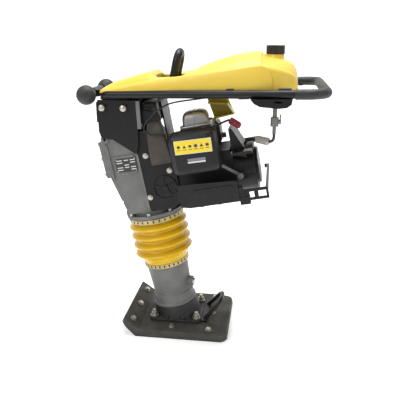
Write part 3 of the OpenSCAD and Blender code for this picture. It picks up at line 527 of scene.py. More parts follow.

# %% [markdown]
# ### Paints, castings, plastics and rubbers
# The castings are bare aluminium gone grey, so they are only partly metallic and rather rough. The tank is
# thick rotomoulded plastic, and the bellows gets painted shade in its creases. Zinc on the bolts is pale and
# warm.

# %% The materials
FINISHES = {
    "tank_yellow": make_finish(
        "moulded_yellow", (0.78, 0.55, 0.060), 0.42, shade=0.94, grain=(900.0, 0.05), dust=0.04,
        dust_colour=(0.60, 0.46, 0.12), scratch=0.10, coat=0.15),
    # The bellows' dark brown crease colour is painted shade under its rolls.
    "bellows_yellow": make_finish(
        "bellows_urethane", (0.80, 0.49, 0.004), 0.30, shade=0.88, grain=(500.0, 0.10), dust=0.04,
        dust_colour=(0.45, 0.30, 0.08), coat=0.2, painted_crease_shade=(0.20, 0.085, 0.002)),
    "grey_casting": make_finish(
        "cast_grey_alloy", (0.175, 0.175, 0.172), 0.55, metallic=0.25, shade=0.80, grain=(650.0, 0.45),
        wear=0.7, wear_colour=(0.42, 0.42, 0.40), dust=0.30, dust_colour=(0.30, 0.28, 0.24)),
    "black_aluminium": make_finish(
        "black_enamelled_casting", (0.010, 0.010, 0.011), 0.45, shade=0.75, grain=(600.0, 0.35), wear=0.35,
        wear_colour=(0.25, 0.25, 0.25), dust=0.10, specular=0.28),
    "black_steel": make_finish(
        "gloss_black_paint", (0.008, 0.008, 0.009), 0.38, shade=0.8, grain=(260.0, 0.12), wear=0.22,
        wear_colour=(0.30, 0.30, 0.31), dust=0.03, scratch=0.2, coat=0.06, specular=0.28),
    "sole_steel": make_finish(
        "worn_black_sole", (0.025, 0.024, 0.022), 0.55, shade=0.7, grain=(420.0, 0.4), wear=0.9,
        wear_colour=(0.32, 0.29, 0.25), dust=0.35, scratch=0.5),
    "shoe_core": make_finish(
        "dusty_board", (0.048, 0.047, 0.040), 0.70, shade=0.6, grain=(380.0, 0.5), wear=0.8,
        wear_colour=(0.20, 0.19, 0.15), dust=0.35, dust_colour=(0.20, 0.18, 0.13), scratch=0.4),
    "bolt_zinc": make_finish(
        "zinc_plate", (0.58, 0.55, 0.47), 0.36, metallic=0.9, shade=0.8, grain=(900.0, 0.06), dust=0.2,
        scratch=0.2),
    "black_casting": make_finish(
        "black_iron_casting", (0.025, 0.025, 0.025), 0.55, shade=0.7, grain=(480.0, 0.5), wear=0.5,
        dust=0.35),
    "machined_steel": make_finish(
        "ground_steel", (0.60, 0.60, 0.62), 0.24, metallic=1.0, grain=(1200.0, 0.03), scratch=0.3),
    "gear_steel": make_finish(
        "cut_steel", (0.45, 0.45, 0.47), 0.32, metallic=1.0, grain=(1000.0, 0.05), scratch=0.3),
    "bronze": make_finish("turned_bronze", (0.60, 0.42, 0.17), 0.30, metallic=1.0, grain=(900.0, 0.05)),
    "band_steel": make_finish(
        "plated_band", (0.46, 0.38, 0.18), 0.34, metallic=1.0, grain=(700.0, 0.08), dust=0.25, scratch=0.3),
    "spring_steel": make_finish(
        "oiled_spring", (0.20, 0.20, 0.22), 0.28, metallic=1.0, grain=(900.0, 0.05)),
    "clutch_lining": make_finish("friction_lining", (0.22, 0.17, 0.13), 0.75, grain=(800.0, 0.3)),
    "black_plastic": make_finish(
        "black_moulding", (0.010, 0.010, 0.011), 0.36, shade=0.85, grain=(1100.0, 0.10), wear=0.15,
        wear_colour=(0.10, 0.10, 0.10), dust=0.06, scratch=0.15, specular=0.35),
    "silver_casting": make_finish(
        "bright_die_casting", (0.56, 0.57, 0.58), 0.36, metallic=0.85, shade=0.8, grain=(800.0, 0.2),
        wear=0.3, wear_colour=(0.7, 0.7, 0.7), dust=0.15),
    "silencer_steel": make_finish(
        "heat_dulled_steel", (0.20, 0.19, 0.18), 0.50, metallic=0.9, shade=0.6, grain=(500.0, 0.15),
        dust=0.2),
    "shield_yellow": make_finish(
        "yellow_sheet_paint", (0.60, 0.50, 0.03), 0.36, shade=0.85, grain=(300.0, 0.1), wear=0.3, dust=0.1,
        coat=0.2),
    "plug_red": make_finish(
        "red_moulded_rubber", (0.24, 0.010, 0.022), 0.42, shade=0.75, grain=(700.0, 0.1), dust=0.1),
    "duct_plastic": make_finish(
        "dull_duct_plastic", (0.070, 0.058, 0.048), 0.62, shade=0.75, grain=(800.0, 0.2), dust=0.25),
    "buffer_rubber": make_finish(
        "matt_black_rubber", (0.018, 0.018, 0.018), 0.55, shade=0.8, grain=(900.0, 0.15), dust=0.12,
        sheen=0.1),
    "grip_rubber": make_finish(
        "grip_rubber", (0.016, 0.016, 0.017), 0.50, shade=0.8, grain=(1000.0, 0.12), dust=0.08, sheen=0.1),
    "cap_plastic": make_finish(
        "knurled_cap", (0.018, 0.018, 0.019), 0.45, shade=0.8, grain=(1000.0, 0.1), wear=0.3,
        wear_colour=(0.10, 0.10, 0.10), dust=0.15),
    "cock_alloy": make_finish(
        "die_cast_alloy", (0.20, 0.20, 0.195), 0.45, metallic=0.8, grain=(800.0, 0.2), dust=0.1),
    "filter_plastic": make_finish(
        "clear_grey_filter", (0.34, 0.33, 0.30), 0.30, shade=0.85, grain=(900.0, 0.05)),
    "hose_rubber": make_finish(
        "smooth_hose_rubber", (0.012, 0.012, 0.012), 0.38, shade=0.85, grain=(1400.0, 0.05), dust=0.05),
    "rope_fibre": make_finish(
        "braided_rope", (0.62, 0.60, 0.54), 0.85, shade=0.7, grain=(1500.0, 0.4), sheen=0.3),
}
print(len(FINISHES), "finishes")

# %% [markdown]
# ### Onto the working pieces
# Every node keeps its shape and takes the finish of its own slot.

# %% Finish the working pieces
def dress_nodes():
    for part in frame["record"]["subparts"]:
        node = nodes[part["node"]]
        material = FINISHES[part["material_slot"]]
        if node.data.materials:
            for i in range(len(node.data.materials)):
                node.data.materials[i] = material
        else:
            node.data.materials.append(material)


dress_nodes()
print("dressed", len(nodes), "nodes")

# %% [markdown]
# ## The throttle cable and the fuel hose
# Both are held all the way, from the handle to the engine, and both cross the rubber buffers. They follow
# the routes of the model, point for point, as one smooth cord each. The cable is a 5 mm sheathed wire, and
# the hose an 8 mm rubber pipe.

# %% The two cords
CABLE_ROUTE = [
    (0.318, 0.150, 0.788), (0.300, 0.138, 0.785), (0.270, 0.118, 0.780), (0.220, 0.090, 0.775),
    (0.160, 0.060, 0.770), (0.100, 0.024, 0.766), (0.050, -0.024, 0.764), (0.010, -0.062, 0.762),
    (-0.016, -0.086, 0.758), (-0.036, -0.097, 0.748), (-0.056, -0.100, 0.734), (-0.074, -0.100, 0.716),
    (-0.088, -0.098, 0.698), (-0.090, -0.098, 0.680), (-0.076, -0.097, 0.669), (-0.056, -0.095, 0.666),
    (-0.034, -0.092, 0.668), (-0.010, -0.086, 0.665), (0.016, -0.077, 0.657), (0.038, -0.071, 0.649),
    (0.054, -0.070, 0.641),
]
HOSE_HIGH = [(0.291, -0.150, 0.6895), (0.291, -0.150, 0.680), (0.289, -0.147, 0.672), (0.284, -0.142, 0.667),
             (0.279, -0.137, 0.6645)]
HOSE_LOW = [(0.241, -0.099, 0.6637), (0.236, -0.094, 0.6625), (0.226, -0.084, 0.661), (0.216, -0.075, 0.656),
            (0.210, -0.070, 0.648), (0.207, -0.066, 0.640)]
CABLE_RADIUS = 0.0025
HOSE_RADIUS = 0.004


def route_length(points):
    return sum((b - a).length for a, b in zip(points, points[1:]))


cable_line = curve_through(CABLE_ROUTE, 6)
cable = sweep("throttle_cable_sheath", cable_line, CABLE_RADIUS, 14)
cable.data.materials.append(FINISHES["hose_rubber"])
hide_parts("throttle_cable")
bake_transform(cable)

hose_high_line = curve_through(HOSE_HIGH, 8)
hose_high = sweep("fuel_hose_above_filter", hose_high_line, HOSE_RADIUS, 18)
finish_piece(hose_high, FINISHES["hose_rubber"], "handle")
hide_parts("fuel_hose")
hose_low_line = curve_through(HOSE_LOW, 8)
hose_low = sweep("fuel_hose_below_filter", hose_low_line, HOSE_RADIUS, 18)
hose_low.data.materials.append(FINISHES["hose_rubber"])
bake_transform(hose_low)
print("cable", round(route_length(cable_line), 3), "m, hose",
      round(route_length(hose_high_line) + route_length(hose_low_line), 3), "m")

# %% [markdown]
# ## The starter rope
# The rope runs from the hole in the cover to the grip.

# %% Starter rope
ROPE_MOUTH = (340, 52, 505 + 30)
ROPE_LEAN = 52
ROPE_RADIUS = 0.002
rope_frame = facing(ROPE_MOUTH, (-ROPE_LEAN, 0, 0))
rope_line = [rope_frame @ Vector((0, 0, h)) for h in range(-18, 40, 3)]
rope = sweep("starter_rope_braid", rope_line, ROPE_RADIUS, 14)
rope.data.materials.append(FINISHES["rope_fibre"])
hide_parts("starter_rope")
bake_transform(rope)
print("rope", round(route_length(rope_line), 3), "m at rest")

# %% [markdown]
# ## The fuel tank
# The tank is one rotomoulded shell that also covers the handle: a low nose ahead of the lifting bail, a
# shoulder that runs its whole length, and a hump that rises to the filler. It is lofted through stations
# along the machine. Each station is an outline whose corners are rounded before the skin goes on, because
# a moulded edge is never sharp, and a seam is a station drawn slightly inwards.

# %% Tank stations
# Distance along, half width and height of the base, of the shoulder and of the crown, and the inset
TANK_STATIONS = [
    (-229, 66, 786, 60, 788, 34, 791, 0), (-226, 86, 783, 80, 792, 46, 797, 0),
    (-218, 93, 782, 88, 796, 51, 802, 0), (-190, 98, 783, 94, 801, 56, 815, 0),
    (-130, 106, 785, 102, 812, 58, 833, 0), (-72, 113, 787, 109, 823, 57, 847, 0),
    (-62, 114, 787, 110, 825, 66, 836, 0), (-56, 115, 787, 110, 826, 70, 831, 0),
    (14, 124, 790, 118, 838, 74, 835, 0), (34, 127, 790, 120, 841, 72, 843, 0),
    (60, 130, 791, 124, 845, 66, 857, 0), (120, 138, 794, 132, 855, 62, 880, 0),
    (180, 146, 796, 140, 864, 64, 897, 0), (236, 152, 798, 146, 871, 66, 905, 0),
    (249, 152, 798, 146, 871, 67, 901, 0), (250, 152, 798, 146, 871, 67, 900, 2.6),
    (252.4, 152, 798, 146, 871, 67, 899, 2.6), (253.4, 152, 798, 146, 871, 67, 898, 0),
    (264, 152, 799, 146, 871, 68, 891, 0), (300, 150, 800, 140, 862, 66, 885, 0),
    (330, 141, 801, 124, 851, 61, 876, 0), (344, 131, 802, 111, 840, 55, 863, 0),
    (349, 124, 803, 103, 833, 51, 852, 0), (351, 116, 805, 96, 826, 46, 843, 0),
]
CORNER_CUT = 4.2
CORNER_STEPS = 5


def tank_outline(station):
    """Corner points of one station, round from the near base to the far one."""
    x, base, low, shoulder, mid, crown, top, inset = station
    crown = min(crown, shoulder - 18)
    ledge = min(9.0, (mid - low) * 0.3)
    half = [(base - 9, low), (base, low + 6), (base - (base - shoulder) * 0.4, low + (mid - low) * 0.45),
            (shoulder + 2, mid - 5), (shoulder - 4, mid + 1.5 - inset * 0.6),
            (shoulder - ledge - 6, mid + 0.5 - inset * 0.6),
            (shoulder - (shoulder - crown) * 0.50, mid + (top - mid) * 0.42 - inset),
            (crown, top - 1.5 - inset), (crown * 0.45, top - inset)]
    near = [(x, -y, z) for y, z in half]
    far = [(x, y, z) for y, z in reversed(half)]
    return [Vector(p) for p in near + far]


def round_outline(corners, cut, steps):
    """The same outline with each corner replaced by a short curve."""
    points = []
    count = len(corners)
    for i, corner in enumerate(corners):
        before, after = corners[i - 1], corners[(i + 1) % count]
        first = corner + (before - corner).normalized() * min(cut, (before - corner).length * 0.45)
        last = corner + (after - corner).normalized() * min(cut, (after - corner).length * 0.45)
        for k in range(steps):
            t = k / (steps - 1)
            points.append(first * (1 - t) ** 2 + corner * 2 * t * (1 - t) + last * t * t)
    return points


def station_between(index, t):
    """A station between two others, along a curve that never overshoots them."""
    a, b = TANK_STATIONS[index], TANK_STATIONS[index + 1]
    before = TANK_STATIONS[max(index - 1, 0)]
    after = TANK_STATIONS[min(index + 2, len(TANK_STATIONS) - 1)]
    values = []
    for p, q, r, s in zip(before, a, b, after):
        bend = 0.5 * (2 * q + (r - p) * t + (2 * p - 5 * q + 4 * r - s) * t ** 2
                      + (3 * q - p - 3 * r + s) * t ** 3)
        values.append(min(max(bend, min(q, r)), max(q, r)))
    return values


def make_tank():
    rings = []
    for i in range(len(TANK_STATIONS) - 1):
        steps = max(1, min(6, round((TANK_STATIONS[i + 1][0] - TANK_STATIONS[i][0]) / 8)))
        for k in range(steps):
            rings.append(round_outline(tank_outline(station_between(i, k / steps)), CORNER_CUT,
                CORNER_STEPS))
    rings.append(round_outline(tank_outline(TANK_STATIONS[-1]), CORNER_CUT, CORNER_STEPS))
    points, faces = loft_data([[UPRIGHT @ p for p in ring] for ring in rings])
    return make_piece("tank_shell", points, faces)


tank = make_tank()
print("tank has", len(tank.data.vertices), "points")

# %% [markdown]
# ### The well for the bail
# The lifting bail stands up through a square hole in the tank. A box with rounded edges, cut away with a
# boolean, leaves clean inner walls of the same plastic.

# %% Cut the well and round its edges
NECK_PLACE = (286, 0, 872)


def cut(piece, cutter):
    """Takes a cutter's volume out of a piece, and removes the cutter."""
    apply_modifiers(cutter)
    away = piece.modifiers.new("cut", "BOOLEAN")
    away.operation = "DIFFERENCE"
    away.solver = "EXACT"
    away.object = cutter
    apply_modifiers(piece)
    bpy.data.objects.remove(cutter)
    return piece


well = pad("well", [(-40, 76, 98, 9), (120, 76, 98, 9)], facing((-25, 0, 790), (0, 0, 0), UPRIGHT))
cut(tank, well)
for polygon in tank.data.polygons:
    polygon.use_smooth = True
tank.data.set_sharp_from_angle(angle=math.radians(38))
finish_piece(tank, FINISHES["tank_yellow"], "handle")
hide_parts("fuel_tank")
neck = lathe("filler_neck", [(21, -16), (21, 24.4), (22.5, 25), (25, 25), (26, 24), (26, 6), (30, 1),
    (31, -16)],
             facing(NECK_PLACE, (0, 0, 0), UPRIGHT))
finish_piece(neck, FINISHES["tank_yellow"], "handle")
print("tank cut, neck on")

# %% [markdown]
# ### The tank's side panels
# Each side of the tank is a raised panel with a crisp upper edge that climbs from the nose to the filler
# and then turns down round the rear corner. It is lofted from cross sections whose top follows that edge.

# %% Side panels
# Distance along, then the height of the panel's upper edge
PANEL_EDGE = [
    (-216, 790), (-208, 794), (-177, 800), (-120, 812), (-60, 823), (0, 832), (40, 839), (90, 847), (142,
    857),
    (200, 867), (238, 873), (250, 873.5), (259, 871), (267, 865), (273, 857), (278, 846), (281, 834),
    (283, 820),
    (284, 806),
]
PANEL_THICK = 9
PANEL_PROUD = 3.6


def tank_value(x, column):
    """A column of the tank's stations, read in a straight line between two of them."""
    for a, b in zip(TANK_STATIONS, TANK_STATIONS[1:]):
        if a[0] <= x <= b[0]:
            return a[column] + (b[column] - a[column]) * (x - a[0]) / (b[0] - a[0])
    return TANK_STATIONS[-1][column]


def make_side_panel(side):
    rings = []
    for x, top in PANEL_EDGE:
        base, low = tank_value(x, 1), tank_value(x, 2)
        shoulder = tank_value(min(x, 262), 3)
        proud = PANEL_PROUD * min(1.0, (top - low) / 30)
        bottom = low + 3
        upper = base + (shoulder - base) * min(1.0, (top - low) / 70)
        corners = [(base + proud - 1, bottom), (base + proud, bottom + 2), (upper + proud, top - 2.2),
                   (upper + proud - 0.8, top - 0.7), (upper + proud - 2.4, top), (upper - PANEL_THICK,
                   top - 0.5),
                   (base - PANEL_THICK, bottom)]
        rings.append([UPRIGHT @ Vector((x, side * y, z)) for y, z in corners])
    points, faces = loft_data(rings)
    panel = make_piece(f"panel_{side}", points, faces)
    flat_caps(panel)
    return panel


panels = join("tank_side_panels", [make_side_panel(-1), make_side_panel(1)])
for polygon in panels.data.polygons:
    polygon.use_smooth = True
panels.data.set_sharp_from_angle(angle=math.radians(50))
finish_piece(panels, FINISHES["tank_yellow"], "handle")
print("side panels on")

# %% [markdown]
# ### Small things on the tank
# A dark rubber pad lies between the tank's rear corner and the rail on each side, and shorter ones further
# forward. They keep the plastic off the steel.

# %% Tank pads
RAIL_SLOPE = 106 / 650


def rail_side(x):
    """Half width between the rails' centres at a distance along them."""
    return 88 + RAIL_SLOPE * (x + 222)


def make_tank_pads():
    pads = []
    for side in (-1, 1):
        for x, length in ((316, 34), (168, 22), (30, 20), (-70, 22), (-190, 20)):
            place = facing((x, side * (rail_side(x) - 12), 10), (0, 0, side * 9.3), RAILS)
            pads.append(pad(f"pad_{side}_{x}", [(0, length, 20, 3), (4, length, 20, 3),
                (5, length - 2, 18, 3)], place))
    return join("tank_pads", pads)


tank_pads = finish_piece(make_tank_pads(), FINISHES["buffer_rubber"], "handle")
print("tank pads", len(tank_pads.data.polygons), "faces")

# %% [markdown]
# ## The bellows
# The bellows is a thick urethane sleeve with four fat rolls and narrow creases between them. Turning one
# outline on a lathe gives it, inside and out. It is clamped to the leg below and to the casing above.

# %% Bellows
ROLL_R = 96.5
ROLL_DEPTH = 15.0
ROLLS = 4
ROLL_STEPS = 16
ROLL_LOW, ROLL_HIGH = 256, 382
LEG_TOP_R = 70
NECK_R = 84


def roll_radius(t, inset):
    return ROLL_R - inset - ROLL_DEPTH * abs(math.cos(math.pi * t)) ** 1.7


def make_bellows():
    outline = [(LEG_TOP_R + 0.2, 223), (LEG_TOP_R + 3.2, 222.2), (LEG_TOP_R + 4, 223), (LEG_TOP_R + 4, 240),
               (LEG_TOP_R + 5, 243), (LEG_TOP_R + 8, 248)]
    steps = ROLLS * ROLL_STEPS
    for i in range(steps + 1):
        outline.append((roll_radius(i / ROLL_STEPS, 0), ROLL_LOW + (ROLL_HIGH - ROLL_LOW) * i / steps))
    outline += [(NECK_R + 4.4, 384), (NECK_R + 4, 386), (NECK_R + 4, 398), (NECK_R + 3.4, 399),
        (NECK_R + 0.5, 399),
                (NECK_R + 0.4, 385)]
    for i in range(steps, -1, -1):
        outline.append((roll_radius(i / ROLL_STEPS, 4), ROLL_LOW + (ROLL_HIGH - ROLL_LOW) * i / steps))
    outline += [(LEG_TOP_R + 3, 248), (LEG_TOP_R + 0.2, 241)]
    return lathe("bellows_sleeve", outline, LEANING, sides=144)


bellows = make_bellows()
bellows.data.materials.append(FINISHES["bellows_yellow"])
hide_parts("bellows")
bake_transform(bellows)
print("bellows has", len(bellows.data.vertices), "points")

# %% [markdown]
# ### Slotted band clamps
# A worm-drive band has a row of short slots for its screw. The band itself came with the model; the slots
# are thin dark pieces set into it, painted shade in place of open slots, and the worm's housing carries a
# slotted screw.

# %% Band slots and worm screws
def around(angle, radius, height):
    """A matrix on a ring round the leg: Z points outwards, X runs along the ring."""
    turn = Matrix.Rotation(math.radians(angle), 4, "Z")
    spot = LEANING @ turn @ Matrix.Translation((radius, 0, height))
    return spot @ Matrix.Rotation(math.radians(90), 4, "Y") @ Matrix.Rotation(math.radians(90), 4, "Z")


def make_band_slots(name, height, radius, count):
    slots = []
    for k in range(count):
        angle = 360 * k / count
        if 138 < angle < 162:
            continue
        slots.append(pad(f"{name}_{k}", [(-0.3, 5, 9, 2), (0.25, 5, 9, 2)], around(angle, radius, height),
            3))
    return join(name, slots)


def make_worm_screw(name, height, radius):
    base = around(150, radius, height)
    middle = base @ Matrix.Translation((0, 0, 5)) @ Matrix.Rotation(math.radians(90), 4, "Y")
    outline = [(0, -17), (4.2, -17), (4.2, 12), (6, 12), (6, 16), (5.4, 17), (0, 17)]
    return lathe(name, outline, middle, 32, closed=False)


# Name, height up the leg, radius of the band's outer face, and body
BANDS = [("lower", 230.5, LEG_TOP_R + 5.5, "foot"), ("upper", 392, NECK_R + 5.9, "machine")]
SLOT_COUNT = 30
for tag, height, radius, body in BANDS:
    slots = make_band_slots(f"{tag}_band_slots", height, radius, SLOT_COUNT)
    # The slots' near-black finish is painted shade where the band would be open.
    finish_piece(slots, FINISHES["sole_steel"], body)
    screw = make_worm_screw(f"{tag}_band_screw", height, radius + 6)
    finish_piece(screw, FINISHES["bolt_zinc"], body)
print("two clamps detailed")

# %% [markdown]
# ## The air cleaner cover
# The biggest black moulding on the engine is the air cleaner's cover, a box with soft shoulders and a low
# plateau that carries the label. Stacked outlines with growing corner radii give its shape, and a lip runs
# round its joint with the base.

# %% Air cleaner cover
CLEANER = (190, 602)


def make_cleaner_cover():
    place = facing((CLEANER[0], -106, CLEANER[1]), (90, 0, 0))
    shell = pad("cover_shell", [
        (0, 141, 125, 19), (1.5, 142, 126, 19.5), (5, 142, 126, 19.5), (6.5, 139, 123, 18), (40, 138, 122,
        18),
        (44, 136, 120, 18), (48, 133, 117.5, 18), (51.5, 128, 113, 17), (54, 121, 107, 15), (55.5, 116,
        102, 13),
        (56, 112, 97, 12), (57.6, 110, 95, 11), (58.6, 107, 92, 10), (59, 103, 88, 9)], place, 8)
    return shell


cover = finish_piece(make_cleaner_cover(), FINISHES["black_plastic"], "machine")
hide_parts("air_cleaner_cover")


def make_cover_clips():
    clips = []
    for u in (CLEANER[0] - 40, CLEANER[0] + 40):
        for w, turn in ((CLEANER[1] + 62, 0), (CLEANER[1] - 62, 180)):
            place = facing((u, -118, w), (turn, 0, 0))
            clips.append(pad(f"clip_{u}_{w}", [(-3, 18, 18, 3), (1.6, 18, 18, 3), (2.6, 15, 15, 3)],
                place, 4))
    return join("cover_clips", clips)


clips = finish_piece(make_cover_clips(), FINISHES["black_plastic"], "machine")
print("cover and clips on")

# %% [markdown]
# ### Plain labels
# The real machine carries printed labels. Here each is a blank of the same size and colour with plain marks
# in place of print: a pale border, and a row of small discs, bars and triangles that say nothing.

# %% Label materials
def make_label_finish(name, colour, roughness):
    return make_finish(name, colour, roughness, shade=0.93, grain=(1500.0, 0.02), dust=0.06, scratch=0.15,
        coat=0.3)


LABEL_YELLOW = make_label_finish("label_yellow", (0.86, 0.66, 0.02), 0.30)
LABEL_PALE = make_label_finish("label_pale", (0.72, 0.71, 0.66), 0.32)
LABEL_DARK = make_label_finish("label_dark", (0.020, 0.020, 0.022), 0.34)
LABEL_ROSE = make_label_finish("label_rose", (0.62, 0.30, 0.28), 0.34)
LABEL_GREY = make_label_finish("label_grey", (0.20, 0.19, 0.24), 0.34)
print("label finishes ready")

# %% Labels on the cover
def label_part(name, size, height, place, material, corner=1.2):
    """One flat printed area, a fraction of a millimetre thick."""
    piece = pad(name, [(height - 0.25, size[0], size[1], corner), (height, size[0], size[1], corner)],
        place, 3)
    return finish_piece(piece, material, "machine")


LABEL_Y = -165.2


def make_cover_labels():
    face = facing((CLEANER[0] + 5, LABEL_Y, CLEANER[1] + 23), (90, 0, 0))
    face = face @ Matrix.Rotation(math.radians(-2.5), 4, "Z")
    label_part("cover_label_border", (108, 40), 0.35, face, LABEL_PALE)
    label_part("cover_label_field", (105, 37), 0.5, face, LABEL_YELLOW)
    marks = []
    for k in range(6):
        spot = face @ Matrix.Translation((-41.5 + 16.6 * k, 1.5, 0.1))
        if k % 3 == 0:
            marks.append(lathe(f"mark_{k}", [(0, 0.45), (4.6, 0.45), (4.6, 0.6), (0, 0.6)], spot, 20,
                closed=False))
        elif k % 3 == 1:
            marks.append(plate(f"mark_{k}", [(-5, -4), (5, -4), (0, 5)], 0.6, spot))
        else:
            marks.append(pad(f"mark_{k}", [(0.4, 9, 7, 2), (0.6, 9, 7, 2)], spot, 3))
        below = spot @ Matrix.Translation((0, -9, 0))
        marks.append(pad(f"bar_{k}", [(0.4, 11, 1.6, 0.4), (0.6, 11, 1.6, 0.4)], below, 2))
    finish_piece(join("cover_label_marks", marks), LABEL_DARK, "machine")
    for k, x in enumerate((8.3, 41.5)):
        spot = face @ Matrix.Translation((x, 1.5, 0.2))
        ring = lathe(f"cover_label_ring_{k}", [(4.4, 0.4), (6.0, 0.4), (6.0, 0.65), (4.4, 0.65)], spot, 24)
        finish_piece(ring, LABEL_ROSE, "machine")
    strip = facing((CLEANER[0] + 8, LABEL_Y, CLEANER[1] - 20), (90, 0, 0))
    strip = strip @ Matrix.Rotation(math.radians(-2), 4, "Z")
    label_part("cover_strip_grey", (52, 8), 0.4, strip @ Matrix.Translation((0, 4.5, 0)), LABEL_GREY)
    label_part("cover_strip_pale", (52, 4.4), 0.4, strip @ Matrix.Translation((0, -2.6, 0)), LABEL_PALE)


make_cover_labels()
print("cover labels on")

# %% [markdown]
# ### The plate on the drive casing
# A dark anodised plate with rows of pale fields is riveted to the casing's near side.

# %% Casing plate
def make_casing_plate():
    face = facing((-36, -83.6, 586), (90, 0, 0)) @ Matrix.Rotation(math.radians(-2), 4, "Z")
    label_part("casing_plate", (66, 44), 0.7, face, LABEL_DARK, 3)
    fields = []
    for row in range(5):
        for x, length in ((-20, 18), (2, 14), (22, 16)):
            spot = face @ Matrix.Translation((x, 15 - 7.4 * row, 0.6))
            if (row + x) % 3:
                fields.append(pad(f"field_{row}_{x}", [(0, length, 2.6, 0.5), (0.3, length, 2.6, 0.5)],
                    spot, 2))
    finish_piece(join("casing_plate_fields", fields), LABEL_PALE, "machine")
    rivets = []
    for sx in (-1, 1):
        for sy in (-1, 1):
            spot = face @ Matrix.Translation((sx * 30, sy * 19, 0.5))
            rivets.append(lathe(f"rivet_{sx}_{sy}", [(0, 1.6), (1.3, 1.2), (2, 0.2), (2, 0)], spot, 16,
                closed=False))
    finish_piece(join("casing_plate_rivets", rivets), FINISHES["bolt_zinc"], "machine")


make_casing_plate()
print("casing plate on")

# %% [markdown]
# ## Fittings on the handle's bracket
# Each rubber buffer is held by a zinc bolt with a washer, and a bare strip runs down the bracket's rear
# edge. A hexagon is a lathe with six sides, so the heads come from the same helper as the round parts.

# %% Bracket bolts and strip
def hex_head(name, place, radius, height):
    """A bolt head with a chamfered top, on a round washer."""
    head = lathe(name, [(0, height), (radius * 0.86, height), (radius, height - 1.2), (radius, 2), (0, 2)],
                 place, 6, closed=False)
    washer = lathe(f"{name}_washer", [(0, 2.3), (radius * 1.28, 2.3), (radius * 1.32, 1.8),
        (radius * 1.32, 0.1),
                                      (0, 0.1)], place, 32, closed=False)
    return join(name, [head, washer])


bracket_bolts = []
for side in (-1, 1):
    for x in (-217, -152):
        place = facing((x, side * 100.8, 744), (-90 * side, 0, 0), UPRIGHT)
        bracket_bolts.append(hex_head(f"head_{side}_{x}", place, 7, 5.6))
finish_piece(join("bracket_bolts", bracket_bolts), FINISHES["bolt_zinc"], "machine")
strip = plate("bracket_strip", [(-112, 683), (-100.6, 683), (-104.6, 765), (-115.6, 765)], 0.9,
              facing((0, -91.9, 0), (90, 0, 0), UPRIGHT), bevel=0.3)
finish_piece(strip, FINISHES["grey_casting"], "machine")
print("bracket fitted")

# %% [markdown]
# ## The web on the drive casing
# The clutch turns in a round pocket of the casing, and outside it shows as a raised rim with a few short
# ribs. The rim is a low ring turned on a lathe, and the ribs are thin pads that meet it.

# %% Round web
WEB_PLACE = (70, -81.9, 497)
WEB_RADIUS = 37


def make_round_web():
    face = facing(WEB_PLACE, (90, 0, 0))
    parts = [
        lathe("web_rim", [(WEB_RADIUS - 3, 0), (WEB_RADIUS - 2.4, 2.6), (WEB_RADIUS - 1.5, 3.2),
            (WEB_RADIUS, 3.2),
                          (WEB_RADIUS + 1, 2.6), (WEB_RADIUS + 1.6, 0)], face, 72),
        lathe("web_boss", [(0, 3), (8, 3), (9.5, 2), (10, 0), (0, 0)], face, 36, closed=False),
    ]
    for k in range(5):
        turn = face @ Matrix.Rotation(math.radians(18 + 72 * k), 4, "Z") @ Matrix.Translation((22, 0, 0))
        parts.append(pad(f"web_rib_{k}", [(0, 26, 3.4, 1), (2, 26, 3, 1), (2.4, 25.4, 2.4, 0.8)], turn, 3))
    return join("casing_web", parts)


finish_piece(make_round_web(), FINISHES["black_aluminium"], "machine")
print("web on")

# %% [markdown]
# ## The ribbed head cover
# Bright die-cast metal, domed at the top, with a few fins across it and a bolt at each corner of its
# flange.

# %% Head cover
HEAD_PLACE = (190, 2, 658)
FIN_SPOTS = (-28, -14, 0, 14, 28)


def make_head_cover():
    base = facing(HEAD_PLACE, (0, 0, 0))
    parts = [
        pad("head_flange", [(0, 95, 83, 10), (1, 96, 84, 10), (5, 96, 84, 10), (6, 94, 82, 9)], base, 5),
        pad("head_dome", [(5, 82, 68, 12), (10, 80, 66, 12), (26, 78, 64, 13), (36, 74, 60, 15),
            (42, 67, 53, 17),
                          (46, 57, 43, 18), (48, 44, 31, 14)], base, 6),
    ]
    for x in FIN_SPOTS:
        reach = 58 - abs(x) * 0.45
        top = 50.5 - (abs(x) / 28) ** 2 * 5
        fin = [(12, 3.4, reach + 8, 1.5), (34, 3.2, reach + 6, 1.5), (top - 3, 3, reach - 6, 1.4),
               (top, 2.4, reach - 14, 1.1)]
        parts.append(pad(f"fin_{x}", fin, base @ Matrix.Translation((x, 0, 0)), 3))
    for sx in (-1, 1):
        for sy in (-1, 1):
            spot = base @ Matrix.Translation((sx * 41, sy * 35, 6))
            parts.append(hex_head(f"head_bolt_{sx}_{sy}", spot, 4.5, 5))
    return join("head_cover_casting", parts)


head = finish_piece(make_head_cover(), FINISHES["silver_casting"], "machine")
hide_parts("head_cover")
print("head cover on")

# %% [markdown]
# ## The air intake
# A pre-cleaner box hangs behind the casing, and a tapered duct of dull plastic carries its air down and
# forward, flat against the near side. The duct is a skin through five rounded outlines, each wider than the
# one above it.

# %% Intake box and duct
# Height, then the near and far ends along the machine, then the outer and inner side
DUCT_OUTLINES = [
    (704, 53, 92, -72, -44), (690, 51, 95, -80, -50), (664, 48, 100, -88, -60), (630, 45, 106, -91, -68),
    (596, 43, 110, -91, -72), (572, 43, 111, -90, -74),
]


def make_duct():
    rings = []
    for w, low, high, outer, inner in DUCT_OUTLINES:
        middle = (low + high) / 2, (outer + inner) / 2
        outline = round_rect(high - low, inner - outer, 6, 4)
        rings.append([at((middle[0] + x, middle[1] + y, w)) for x, y in outline])
    points, faces = loft_data(rings)
    duct = make_piece("intake_duct", points, faces)
    flat_caps(duct)
    return duct


